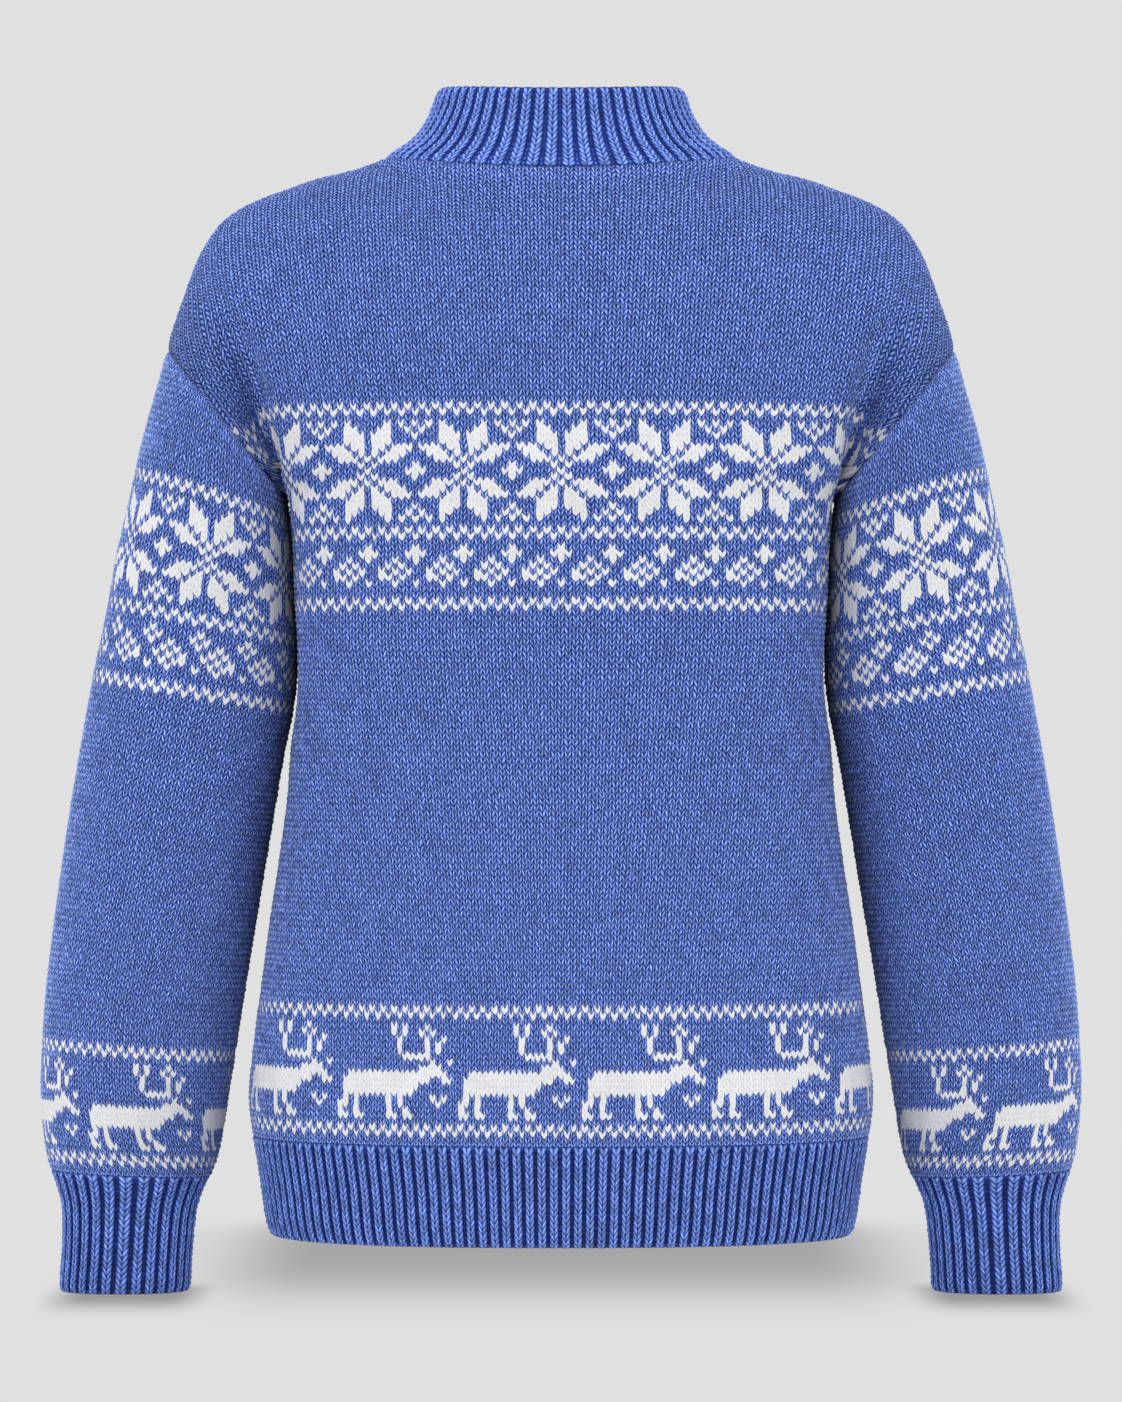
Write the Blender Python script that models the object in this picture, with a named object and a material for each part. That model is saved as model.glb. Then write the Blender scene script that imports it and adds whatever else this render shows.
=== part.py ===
"""Knitted pullover with a ribbed mock neck, drop shoulders and ribbed hem and cuffs.

Every piece a maker would knit and sew is its own solid: back, front, two sleeves, the
neckband, and the ribs of the hem and cuffs. Metres, +Z up, the back of the garment faces
-Y, and the origin is the middle of the neck's base.
"""

import math

import bpy
import numpy as np

MM = 0.001

WALL = 2.6            # knitted cloth, mm
SEAM_GAP = 0.3        # between pieces that are sewn or knitted together
RIB_WALL = 3.5        # crest of a rib to its plain inside
RIB_DEEP = 1.9        # crest of a rib to its valley

HEM_TOP = -584.0      # where the body's rib starts
HEM_END = -644.0
UNDERARM = -203.2     # height of the armhole's lowest point
UNDERARM_X = 162.6
SHOULDER_TIP = (236.6, -114.0)   # x and z of the armhole's highest point
ARMHOLE_DEEP = 66.0              # half of the armhole from back to front
# How far the wall at the armhole leans to the arm, by angle from the shoulder tip (0) to
# the underarm (180), on a panel and on a sleeve.
LEAN_AT = (0, 42, 78, 110, 140, 160, 180)
PANEL_LEAN = (0, 0, -0.15, -0.4, -0.55, 0.0, 0.6)
SLEEVE_LEAN = (0, 0, -0.15, -0.4, -0.55, -0.6, -0.6)
NECK_HALF = 106.0                # half of the neck opening's width
NECK_SHARE = 0.43                # share of a panel's half width that is neck

HEM_RIBS = 68         # on each panel
CUFF_RIBS = 30
NECK_RIBS = 60

# Level sections of the body: height, half width, depth to the back, depth to the front.
BODY = np.array([
    [-644, 174.6, 110, 113],
    [-636, 176.6, 111, 114],
    [-612, 180.2, 113, 116],
    [-584, 184.5, 117, 120],
    [-564, 186.6, 119, 122],
    [-528, 183.6, 117, 121],
    [-492, 178.8, 114, 119],
    [-456, 174.0, 110, 118],
    [-420, 168.6, 107, 118],
    [-384, 163.8, 105, 119],
    [-348, 161.2, 105, 121],
    [-312, 161.4, 107, 124],
    [-288, 161.6, 109, 127],
    [-264, 163.2, 111, 129],
    [-240, 164.4, 113, 131],
    [-216, 166.6, 115, 132],
    [-203, 168.4, 116, 132],
], float)
BODY_SQUARE = (2.4, 2.25)   # squareness of the back and front halves of a level section
PRESSED = (6.0, 26.0)       # how deep and wide the arm presses the body's side in, mm
PRESSED_FROM, PRESSED_TO = -352.0, -316.0   # heights over which that starts

# Named places across half a panel, from its middle (0) to its side edge (1).
ACROSS = np.array([0, 0.22, NECK_SHARE, 0.60, 0.74, 0.82, 0.87, 0.93, 1.0, 1.06])
# Upper rows of each panel: x, depth, z at the middle, the middle of the neck's half, the
# neck corner, the shoulder blade, the corner of the back, its edge, the armpit crease and
# the upper arm. Row 5 is the top edge, and its places come from the neck and shoulder.
BACK_ROWS = {
    0.5: [(0, 117, -184), (56, 115.5, -184), (104, 104, -184), (137, 88, -184.5),
          (157, 71, -185.5), (165.2, 52, -188), (165.6, 40, -192), (165.6, 31, -196.4)],
    1: [(0, 117, -165), (56, 115, -165), (104, 103, -165), (137, 87, -166),
        (156, 69, -169), (166.6, 54, -174), (167.2, 44, -180), (168.4, 41, -187)],
    2: [(0, 117, -126), (57, 115, -126), (106, 103, -126), (140, 89, -128),
        (160, 76, -133), (172, 64, -140), (175.5, 50, -150), (181, 52.5, -162)],
    3: [(0, 108, -87), (57, 106, -86.5), (107, 95, -85), (145, 83, -88),
        (170, 74, -95), (183, 67, -104), (187.5, 58, -113), (198, 60, -129)],
    4: [(0, 90, -48), (56, 87, -46), (105, 68, -38), (150, 57, -43),
        (183, 53, -60), (200, 51, -76), (208, 48.5, -90), (217.5, 48, -106)],
}
FRONT_ROWS = {
    0.5: [(0, 132, -187.5), (56, 129.5, -187), (104, 115, -186), (137, 96, -185.5),
          (157, 73, -186), (165.2, 53, -188.5), (165.6, 41, -192.3), (165.6, 31, -196.6)],
    1: [(0, 131, -172), (56, 128, -171), (104, 113, -168), (137, 93, -167),
        (156, 72, -170), (166.6, 56, -175), (167.2, 45, -181), (168.4, 41, -187)],
    2: [(0, 126, -144), (57, 123, -142), (106, 109, -134), (140, 92, -131),
        (160, 77, -135), (171, 64, -142), (175.5, 51, -151), (181.5, 53, -162)],
    3: [(0, 117, -116), (57, 113, -112), (107, 98, -97), (145, 83, -93),
        (170, 72, -98), (183, 65, -106), (187.5, 57.5, -114.5), (198, 60, -129)],
    4: [(0, 104, -88), (55, 98, -77), (104, 70, -48), (149, 56, -46),
        (183, 51, -61), (200, 49, -77), (208, 48, -91), (217.5, 48, -107)],
}
ROW_AT = (0, 0.5, 1, 2, 3, 4, 5)
ARMHOLE_TURN = (180, 160, 140, 110, 78, 42, 0)    # place on the armhole of each row
ROW_RISE = 40.0                              # cloth between two of those rows, mm

# Shoulder seam from the neck corner to the tip: x, z.
SHOULDER = np.array([
    (106, 2), (127.5, -6), (146, -10.8), (165.6, -18), (182, -24), (194, -30),
    (202.5, -36), (212, -48), (218.5, -60), (223, -72), (227, -84), (231.3, -96),
    SHOULDER_TIP,
], float)

# Rings of a sleeve: z outside, x outside, z inside, x inside, half depth, middle's y.
SLEEVE = np.array([
    [-114, 236.6, -203.2, 162.6, 66.0, 0.0],
    [-132, 240.9, -208.5, 163.8, 65.2, 0.1],
    [-152, 246.6, -217.0, 162.6, 63.8, 0.2],
    [-176, 252.8, -230.0, 161.2, 62.0, 0.4],
    [-204, 258.8, -248.0, 160.2, 60.0, 0.7],
    [-236, 266.4, -269.0, 159.4, 58.0, 1.1],
    [-270, 272.4, -295.0, 158.2, 56.0, 1.8],
    [-306, 280.0, -325.0, 160.4, 54.4, 2.8],
    [-344, 287.0, -358.0, 167.0, 53.2, 4.0],
    [-384, 293.9, -394.0, 173.2, 52.2, 5.4],
    [-424, 300.0, -431.0, 179.4, 51.6, 7.0],
    [-462, 305.2, -467.0, 185.4, 51.0, 8.0],
    [-498, 309.5, -501.0, 191.0, 50.4, 9.0],
    [-530, 311.8, -532.0, 195.8, 49.2, 10.0],
    [-558, 312.8, -561.0, 200.4, 47.0, 10.8],
    [-580, 311.6, -583.0, 203.8, 43.6, 11.4],
    [-596, 309.4, -599.0, 207.2, 39.6, 11.8],
    [-606, 306.8, -610.0, 211.0, 36.4, 12.0],
], float)
# Level rows of a cuff under the sleeve: z, x outside, x inside, half depth.
CUFF = np.array([
    [-617, 303.2, 214.4, 34.0],
    [-630, 300.4, 219.0, 31.4],
    [-654, 300.4, 221.6, 30.4],
    [-679.5, 302.4, 222.8, 30.6],
], float)
SLEEVE_SQUARE = 2.15

# Rows of the neckband: share of its height, half width, then y and z at the middle of the
# back, z at the side, y and z at the middle of the front.
COLLAR = np.array([
    [0.00, 106.0, -64.0, -8.0, 2.0, 88.0, -60.0],
    [0.20, 92.0, -61.5, 3.0, 11.0, 83.0, -48.0],
    [0.52, 81.6, -59.5, 19.0, 24.0, 79.5, -31.0],
    [1.00, 74.2, -58.0, 38.5, 44.0, 77.0, -7.0],
], float)
COLLAR_SIDE_Y = (0.0, 5.0, 8.0, 9.5)         # y of its widest point, row by row

# Soft creases on the cloth: piece, place across or round, height, half length, half
# width, lean in degrees and depth in mm. No two are alike.
CREASES = [
    ("back", 0.84, -236, 46, 9, 12, 3.4),
    ("back", -0.86, -228, 39, 8, -9, 2.8),
    ("back", 0.72, -356, 58, 15, 24, 2.2),
    ("back", -0.66, -392, 71, 18, -21, 1.8),
    ("back", 0.30, -548, 34, 16, 8, 1.6),
    ("back", -0.18, -556, 27, 13, -5, 1.3),
    ("back", -0.52, -541, 38, 15, 6, 2.0),
    ("front", 0.80, -232, 52, 9, 16, 3.8),
    ("front", -0.83, -240, 43, 10, -12, 3.1),
    ("front", -0.45, -338, 66, 19, -34, 2.3),
    ("front", 0.58, -372, 49, 14, 28, 2.0),
    ("front", 0.12, -551, 31, 14, -7, 1.7),
    ("front", -0.37, -544, 40, 17, 4, 2.1),
    ("front", 0.66, -550, 29, 12, 9, 1.4),
]


def curve(knots, values, at):
    """Smooth cubic through values at the knots: each slope is its neighbours' mean."""
    knots = np.asarray(knots, float)
    values = np.asarray(values, float)
    at = np.asarray(at, float)
    if values.ndim == 1:
        return curve(knots, values[:, None], at)[..., 0]
    step = np.diff(knots)[:, None]
    slope = np.diff(values, axis=0) / step
    inner = (slope[:-1] * step[1:] + slope[1:] * step[:-1]) / (step[:-1] + step[1:])
    tangent = np.vstack([slope[:1], inner, slope[-1:]])
    i = np.clip(np.searchsorted(knots, at, side="right") - 1, 0, len(step) - 1)
    t = ((at - knots[i]) / step[i, 0])[..., None]
    width = step[i]
    return (
        (1 + 2 * t) * (1 - t) ** 2 * values[i]
        + t * (1 - t) ** 2 * width * tangent[i]
        + t * t * (3 - 2 * t) * values[i + 1]
        + t * t * (t - 1) * width * tangent[i + 1]
    )


def unit(v):
    return v / np.maximum(np.linalg.norm(v, axis=-1, keepdims=True), 1e-12)


def body_arc(z, across, front):
    """Points of a level section from its middle (0) to its side (1), by length."""
    half, back_deep, front_deep = curve(BODY[:, 0], BODY[:, 1:], np.array([z]))[0]
    deep = front_deep if front else back_deep
    power = 2 / BODY_SQUARE[1 if front else 0]
    turn = np.linspace(0, math.pi / 2, 181)
    x = half * np.sin(turn) ** power
    y = deep * np.cos(turn).clip(0) ** power
    start = min(max((z - PRESSED_FROM) / (PRESSED_TO - PRESSED_FROM), 0), 1)
    x -= PRESSED[0] * start * start * (3 - 2 * start) * np.exp(-(y / PRESSED[1]) ** 2)
    length = np.concatenate([[0], np.cumsum(np.hypot(np.diff(x), np.diff(y)))])
    # A place past the side seam lies on the other panel, so its depth is mirrored.
    inside = np.where(across > 1, 2 - across, across)
    px = np.interp(inside * length[-1], length, x)
    py = np.interp(inside * length[-1], length, y) * np.where(across > 1, -1, 1)
    return np.stack([px, py, np.full(len(px), z)], axis=1)


def armhole_point(turn):
    """Armhole at an angle: 0 is the shoulder tip, 180 the underarm, depth is positive."""
    turn = np.radians(turn)
    top = np.array([SHOULDER_TIP[0], 0, SHOULDER_TIP[1]])
    low = np.array([UNDERARM_X, 0, UNDERARM])
    middle, reach = (top + low) / 2, (top - low) / 2
    point = middle + np.cos(turn)[..., None] * reach
    point[..., 1] = ARMHOLE_DEEP * np.sin(turn)
    return point


def armhole_out(turn, leans=PANEL_LEAN):
    """Direction out of the cloth along the armhole, with depth positive."""
    lean = np.interp(turn, LEAN_AT, leans)[..., None]
    turn = np.radians(turn)
    up = np.maximum(np.cos(turn), 0)[..., None] * np.array([0.95, 0, 0.31])
    down = np.maximum(-np.cos(turn), 0)[..., None] * np.array([0, 0, -1.0])
    down = down + lean * np.array([1.0, 0, 0])
    deep = np.sin(turn)[..., None] * np.array([0, 1.0, 0])
    return unit(up + down + deep)


def neck_point(turn, front):
    """Neck seam at an angle: 0 is the middle of the panel and 90 the neck corner."""
    turn = np.radians(turn)
    row = COLLAR[0]
    deep, low = (row[5], row[6]) if front else (-row[2], row[3])
    z = row[4] * np.sin(turn) ** 2 + low * np.cos(turn) ** 2
    return np.stack([row[1] * np.sin(turn), deep * np.cos(turn), z], axis=-1)


def neck_out(turn, front):
    turn = np.radians(turn)
    lift = 0.5 if front else 0.28
    z = lift + (0.95 - lift) * np.sin(turn) ** 2
    return unit(np.stack([0.5 * np.sin(turn), 0.95 * np.cos(turn), z], axis=-1))


def neck_turn(across):
    """Angle on the neck seam of a place across the panel."""
    share = np.clip(np.abs(across) / NECK_SHARE, 0, 1)
    return 90 * (0.72 * share + 0.28 * share ** 3)


def shoulder_point(across):
    """Shoulder seam at a place across the panel, by length from the neck corner."""
    steps = np.hypot(np.diff(SHOULDER[:, 0]), np.diff(SHOULDER[:, 1]))
    length = np.concatenate([[0], np.cumsum(steps)])
    share = np.clip((across - NECK_SHARE) / (1 - NECK_SHARE), 0, 1)
    xz = curve(length, SHOULDER, share * length[-1])
    return np.stack([xz[..., 0], np.zeros(len(share)), xz[..., 1]], axis=-1)


def top_row(front):
    """Control points along a panel's top edge."""
    points = []
    for place in ACROSS[:9]:
        if place <= NECK_SHARE:
            points.append(neck_point(neck_turn(place), front))
        else:
            points.append(shoulder_point(np.array([place]))[0])
    points.append(np.array([239.8, -8, -124]))
    return np.array(points)


def control_net(front):
    """Heights of the cloth and control points of half a panel, depth positive."""
    heights, rows = [], []
    for z in np.concatenate([BODY[3:16, 0], [-208.0]]):
        heights.append(z)
        rows.append(body_arc(z, ACROSS, front))
    first = body_arc(-203.0, ACROSS, front)
    first[8] = armhole_point(180.0)
    first[9] = (UNDERARM_X + 2, -10, UNDERARM)
    heights.append(-203.0)
    rows.append(first)
    table = FRONT_ROWS if front else BACK_ROWS
    for k, turn in list(zip(ROW_AT, ARMHOLE_TURN))[1:-1]:
        edge = armhole_point(float(turn))
        past = edge + unit(np.array([0.72, -0.1 - 0.35 * (k == 4), -0.66])) * 14
        heights.append(-203.0 + ROW_RISE * k)
        rows.append(np.array(table[k] + [tuple(edge), tuple(past)], float))
    heights.append(-203.0 + ROW_RISE * 5)
    rows.append(top_row(front))
    # One row past the top edge gives the cloth's slope there: over the shoulder it is the
    # other panel, and at the neck it is the neckband.
    other = np.array((BACK_ROWS if front else FRONT_ROWS)[4], float) * (1, -1, 1)
    past = np.vstack([other, armhole_point(42.0) * (1, -1, 1), (236, -50, -140)])
    past[0] = (0, 82, -18) if front else (0, 61, 30)
    past[1] = (46, 66, -4) if front else (46, 50, 32)
    past[2] = (99, -33, -2)
    heights.append(-203.0 + ROW_RISE * 6)
    rows.append(past)
    return np.array(heights), np.array(rows)


NETS = {side: control_net(side == "front") for side in ("back", "front")}


def place_on(side, across, height):
    """Point of a panel's outer face at each place across and height, one row a height."""
    heights, net = NETS[side]
    places = np.concatenate([-ACROSS[:0:-1], ACROSS])
    whole = np.concatenate([net[:, :0:-1] * (-1, 1, 1), net], axis=1)
    columns = curve(places, whole.transpose(1, 0, 2).reshape(len(places), -1), across)
    columns = columns.reshape(len(across), len(heights), 3).transpose(1, 0, 2)
    flat = curve(heights, columns.reshape(len(heights), -1), height)
    grid = flat.reshape(len(height), len(across), 3)
    grid[..., 1] *= 1 if side == "front" else -1
    return grid


def outward(side, across, height):
    """Unit normals of a panel's outer face on the same grid."""
    ds, dh = 0.004, 1.5
    low = np.maximum(height - dh, HEM_TOP)
    along = place_on(side, np.minimum(across + ds, 1.06), height) - place_on(
        side, np.maximum(across - ds, -1.06), height
    )
    up = place_on(side, across, height + dh) - place_on(side, across, low)
    normal = np.cross(along, up) if side == "back" else np.cross(up, along)
    return unit(normal)


def pressed(side, grid, normal):
    """The panel's points with its soft creases pressed in along the normals."""
    out = grid.copy()
    for piece, place, height, half_long, half_wide, lean, deep in CREASES:
        if piece != side:
            continue
        middle = place_on(side, np.array([place]), np.array([float(height)]))[0, 0]
        flow = unit(outward(side, np.array([place]), np.array([float(height)]))[0, 0])
        level = unit(np.cross(np.array([0, 0, 1.0]), flow))
        rise = np.cross(flow, level)
        a = math.radians(lean)
        along = rise * math.cos(a) + level * math.sin(a)
        cross = level * math.cos(a) - rise * math.sin(a)
        offset = grid - middle
        run, off = offset @ along / half_long, offset @ cross / half_wide
        near = np.exp(-(offset @ flow / 40) ** 2)
        amount = deep * near * np.exp(-run ** 2) * np.exp(-off ** 2)
        out -= normal * amount[..., None]
    return out


def split(quads, points):
    """Two triangles for each quad, cut along its shorter diagonal."""
    a, b, c, d = (points[quads[:, i]] for i in range(4))
    first = np.linalg.norm(a - c, axis=1) <= np.linalg.norm(b - d, axis=1)
    one = quads[first]
    two = quads[~first]
    return np.vstack([one[:, [0, 1, 2]], one[:, [0, 2, 3]], two[:, [0, 1, 3]], two[:, [1, 2, 3]]])


def sheet_quads(rows, columns, first, closed):
    """Quads of a grid of points, counted from first; closed joins its last column."""
    index = first + np.arange(rows * columns).reshape(rows, columns)
    if closed:
        index = np.hstack([index, index[:, :1]])
    return np.stack(
        [index[:-1, :-1], index[:-1, 1:], index[1:, 1:], index[1:, :-1]], axis=-1
    ).reshape(-1, 4)


def zip_strip(one, one_at, two, two_at, points):
    """Triangles between two runs of points that may have different counts. Where both
    have a point at the same place, the cut follows the shorter diagonal, so the facing
    ends of two pieces are cut alike."""
    faces, i, j = [], 0, 0
    while i < len(one) - 1 or j < len(two) - 1:
        ahead_one = one_at[i + 1] if i < len(one) - 1 else np.inf
        ahead_two = two_at[j + 1] if j < len(two) - 1 else np.inf
        first = ahead_one <= ahead_two
        if abs(ahead_one - ahead_two) < 1e-9:
            rise = np.linalg.norm(points[one[i + 1]] - points[two[j]])
            first = rise <= np.linalg.norm(points[one[i]] - points[two[j + 1]])
        if first:
            faces.append((one[i], one[i + 1], two[j]))
            i += 1
        else:
            faces.append((one[i], two[j + 1], two[j]))
            j += 1
    return faces


def solid(name, outer, inner, outer_at, inner_at, closed, material):
    """One closed solid between an outer and an inner grid of points.

    Both have their rows at the same heights, and their columns may differ in number;
    outer_at and inner_at are the columns' places, which pair them along the rims."""
    rows, wide = outer.shape[:2]
    inner_rows, narrow = inner.shape[:2]
    points = np.vstack([outer.reshape(-1, 3), inner.reshape(-1, 3)])
    start = rows * wide
    outer_quads = sheet_quads(rows, wide, 0, closed)
    inner_quads = sheet_quads(inner_rows, narrow, start, closed)[:, ::-1]
    faces = [split(outer_quads, points), split(inner_quads, points)]
    outside = np.arange(start).reshape(rows, wide)
    inside = start + np.arange(inner_rows * narrow).reshape(inner_rows, narrow)
    a_at, b_at = list(outer_at), list(inner_at)
    for a, b, up in ((outside[0], inside[0], False), (outside[-1], inside[-1], True)):
        a, b = list(a), list(b)
        if closed:
            a, b = a + a[:1], b + b[:1]
        strip = np.array(zip_strip(a, a_at, b, b_at, points))
        faces.append(strip if up else strip[:, ::-1])
    if not closed:
        for column, up in ((0, True), (-1, False)):
            a, b = list(outside[:, column]), list(inside[:, column])
            at_a, at_b = np.linspace(0, 1, len(a)), np.linspace(0, 1, len(b))
            strip = np.array(zip_strip(a, at_a, b, at_b, points))
            faces.append(strip if up else strip[:, ::-1])
    faces = np.vstack(faces)
    corners = points[faces]
    volume = np.einsum("ij,ij->i", corners[:, 0], np.cross(corners[:, 1], corners[:, 2])).sum()
    if volume < 0:
        faces = faces[:, ::-1]
    mesh = bpy.data.meshes.new(name)
    mesh.from_pydata((points * MM).tolist(), [], faces.tolist())
    mesh.materials.append(material)
    mesh.validate()
    mesh.update()
    part = bpy.data.objects.new(name, mesh)
    bpy.context.scene.collection.objects.link(part)
    return part


def colour(name, base, roughness):
    material = bpy.data.materials.new(name)
    material.use_nodes = True
    shader = material.node_tree.nodes["Principled BSDF"]
    shader.inputs["Base Color"].default_value = (*base, 1)
    shader.inputs["Roughness"].default_value = roughness
    return material


# Places across a panel and heights up it where its grid has points.
HALF_PLACES = np.array(
    [0, 0.10, 0.20, 0.30, 0.38, NECK_SHARE, 0.52, 0.61, 0.69, 0.76, 0.82, 0.87, 0.91, 0.955, 1]
)
PLACES = np.concatenate([-HALF_PLACES[:0:-1], HALF_PLACES])
LOW_HEIGHTS = np.array([
    HEM_TOP, -572, -552, -524, -490, -455, -420, -385, -350, -318, -288, -262, -238, -219, -208,
])
UPPER_ROWS = np.array([0, 0.45, 0.9, 1.35, 1.8, 2.3, 2.85, 3.4, 3.95, 4.5, 5])
HEIGHTS = np.concatenate([LOW_HEIGHTS, -203.0 + ROW_RISE * UPPER_ROWS])


def armhole_turns():
    """Angles on the armhole of the panel's upper rows, from its top to the underarm."""
    return curve(ROW_AT, ARMHOLE_TURN, UPPER_ROWS)[::-1]


def mirrored(values, front):
    return values * (1, 1 if front else -1, 1)


def armhole_edge(front, leans):
    """Points, normals and across directions of one panel's armhole, underarm first."""
    turns = armhole_turns()[::-1]
    points = armhole_point(turns)
    out = armhole_out(turns)
    fine = np.linspace(-8, 188, 99)
    whole = armhole_point(fine)
    run = np.stack([np.interp(turns, fine, np.gradient(whole[:, i])) for i in range(3)], -1)
    across = unit(np.cross(run, out))
    across *= np.where(across @ np.array([0.75, 0, -0.66]) < 0, -1, 1)[:, None]
    out = armhole_out(turns, leans)
    return mirrored(points, front), mirrored(out, front), mirrored(across, front)


def neck_edge(front, turns):
    """Points, normals and upward directions of the neck seam at the given angles."""
    points, out = neck_point(turns, front), neck_out(turns, front)
    fine = np.linspace(-6, 96, 103)
    along = neck_point(fine, front)
    run = np.stack([np.interp(turns, fine, np.gradient(along[:, i])) for i in range(3)], -1)
    up = unit(np.cross(run, out))
    up *= np.where(up[:, 2:] < 0, -1, 1)
    return mirrored(points, front), mirrored(out, front), mirrored(up, front)


def panel_faces(side):
    """Outer and inner grids of a panel, set back from its seams."""
    front = side == "front"
    outer = place_on(side, PLACES, HEIGHTS)
    normal = outward(side, PLACES, HEIGHTS)
    bare = outer.copy()
    outer = pressed(side, outer, normal)
    first_up = len(LOW_HEIGHTS)
    # Along each seam both pieces use the seam's own points and directions.
    outer[:, [0, -1]] = bare[:, [0, -1]]
    outer[[0, -1]] = bare[[0, -1]]
    edge, out, across = armhole_edge(front, PANEL_LEAN)
    flip = np.array([-1, 1, 1])
    outer[first_up:, -1], normal[first_up:, -1] = edge, out
    outer[first_up:, 0], normal[first_up:, 0] = edge * flip, out * flip
    # Beside the underarm the wall turns evenly from the body's side to the seam.
    for row in (first_up, first_up + 1):
        for near, far, end in ((-4, (-3, -2), -1), (3, (2, 1), 0)):
            for column, share in zip(far, (0.33, 0.67)):
                mix = normal[row, near] * (1 - share) + normal[row, end] * share
                normal[row, column] = unit(mix)
    neck = np.abs(PLACES) <= NECK_SHARE + 1e-9
    sign = np.where(PLACES < 0, -1, 1)[:, None] * np.array([1, 0, 0]) + np.array([0, 1, 1])
    points, out, up = neck_edge(front, neck_turn(PLACES[neck]))
    outer[-1, neck], normal[-1, neck] = points * sign[neck], out * sign[neck]
    shoulder = np.abs(PLACES) > NECK_SHARE + 1e-9
    outer[-1, shoulder] = shoulder_point(np.abs(PLACES[shoulder])) * sign[shoulder]
    normal[-1, shoulder] = unit(normal[-1, shoulder] * (1, 0, 1))
    normal[-1, [0, -1]] = armhole_out(np.array([0.0]))[0] * np.array([[-1, 1, 1], [1, 1, 1]])
    normal[:first_up, [0, -1]] = unit(normal[:first_up, [0, -1]] * (1, 0, 0) + (1e-9, 0, 0))
    inner = outer - normal * WALL
    half = SEAM_GAP / 2
    own = 1 if front else -1
    for grid in (outer, inner):
        grid[first_up:, -1] -= across * half
        grid[first_up:, 0] -= across * flip * half
        grid[-1, neck] -= up * sign[neck] * half
        grid[: first_up + 1, [0, -1], 1] = own * half
        corner = np.abs(PLACES) >= NECK_SHARE - 1e-9
        grid[-1, corner, 1] = own * half
    return outer, inner


def bottom_edge(side):
    """Outer points and inward directions along the lower edge of a panel."""
    outer, inner = FACES[side]
    return outer[0], unit(inner[0] - outer[0])


def run_along(points, places, at):
    """Points on a polyline at the given places."""
    return np.stack([np.interp(at, places, points[:, i]) for i in range(3)], axis=-1)


def rib_places(count, first, last, closed):
    """Places and drops of the outer points across a run of ribs, two on each crest and
    one in each valley, and the places of the plain inner points under the valleys."""
    pitch = (last - first) / count
    start = first + pitch * np.arange(count)
    places = np.stack([start + 0.22 * pitch, start + 0.66 * pitch, start + 0.94 * pitch], 1)
    drops = np.tile([0.0, 0.0, RIB_DEEP], (count, 1))
    plain = places[:, 2]
    places, drops = places.reshape(-1), drops.reshape(-1)
    if closed:
        return places, drops, plain
    places[-1] = last
    plain = np.concatenate([[first], plain])
    return np.concatenate([[first], places]), np.concatenate([[RIB_DEEP], drops]), plain


def hem(side, material):
    front = side == "front"
    places, drops, plain = rib_places(HEM_RIBS, -1.0, 1.0, False)
    edge, inward = bottom_edge(side)
    rows = [-584 - SEAM_GAP, -606.0, HEM_END]
    outer, inner = [], []
    for k, z in enumerate(rows):
        if k == 0:
            base, into = edge - (0, 0, SEAM_GAP), inward
            outer_row, outer_in = run_along(base, PLACES, places), run_along(into, PLACES, places)
            inner_row, inner_in = run_along(base, PLACES, plain), run_along(into, PLACES, plain)
        else:
            outer_row, outer_in = level_row(z, places, front)
            inner_row, inner_in = level_row(z, plain, front)
        outer.append(outer_row + outer_in * drops[:, None])
        inner.append(inner_row + inner_in * RIB_WALL)
    outer, inner = np.array(outer), np.array(inner)
    for grid in (outer, inner):
        grid[:, [0, -1], 1] = (1 if front else -1) * SEAM_GAP / 2
    return solid(f"{side}_hem_rib", outer, inner, places, plain, False, material)


def level_row(z, places, front):
    """Points and inward directions of the body's level section at a height."""
    size = np.abs(places)
    points = body_arc(z, size, front)
    ahead, behind = body_arc(z, size + 0.01, front), body_arc(z, np.abs(size - 0.01), front)
    behind[size < 0.01, 0] *= -1
    run = ahead - behind
    into = unit(np.stack([-run[:, 1], run[:, 0], np.zeros(len(size))], axis=1))
    into *= np.where((into * points * (1, 1, 0)).sum(1, keepdims=True) > 0, -1, 1)
    sign = np.where(places < 0, -1, 1)[:, None] * np.array([1, 0, 0]) + np.array([0, 1, 1])
    points, into = mirrored(points * sign, front), mirrored(into * sign, front)
    return points, into


def sleeve_turns():
    """Angles round a sleeve: from the shoulder down its back, then up its front."""
    half = armhole_turns()
    return np.concatenate([half, 360 - half[-2:0:-1]])


def ring_point(row, turns):
    """Points of one sleeve ring, a rounded oval from its outer to its inner edge."""
    z_out, x_out, z_in, x_in, deep, middle_y = row
    a = np.radians(turns)
    power = 2 / SLEEVE_SQUARE
    swing = np.sign(np.cos(a)) * np.abs(np.cos(a)) ** power
    sway = np.sign(np.sin(a)) * np.abs(np.sin(a)) ** power
    x = (x_out + x_in) / 2 + swing * (x_out - x_in) / 2
    z = (z_out + z_in) / 2 + swing * (z_out - z_in) / 2
    return np.stack([x, middle_y - sway * deep, z], axis=-1)


def tube_normals(grid):
    """Unit normals of a grid of rings, outward from each ring's middle."""
    around = np.roll(grid, -1, axis=1) - np.roll(grid, 1, axis=1)
    down = np.gradient(grid, axis=0)
    normal = unit(np.cross(around, down))
    middle = grid.mean(axis=1, keepdims=True)
    facing = ((grid - middle) * normal).sum(-1, keepdims=True)
    return normal * np.where(facing < 0, -1, 1)


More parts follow.
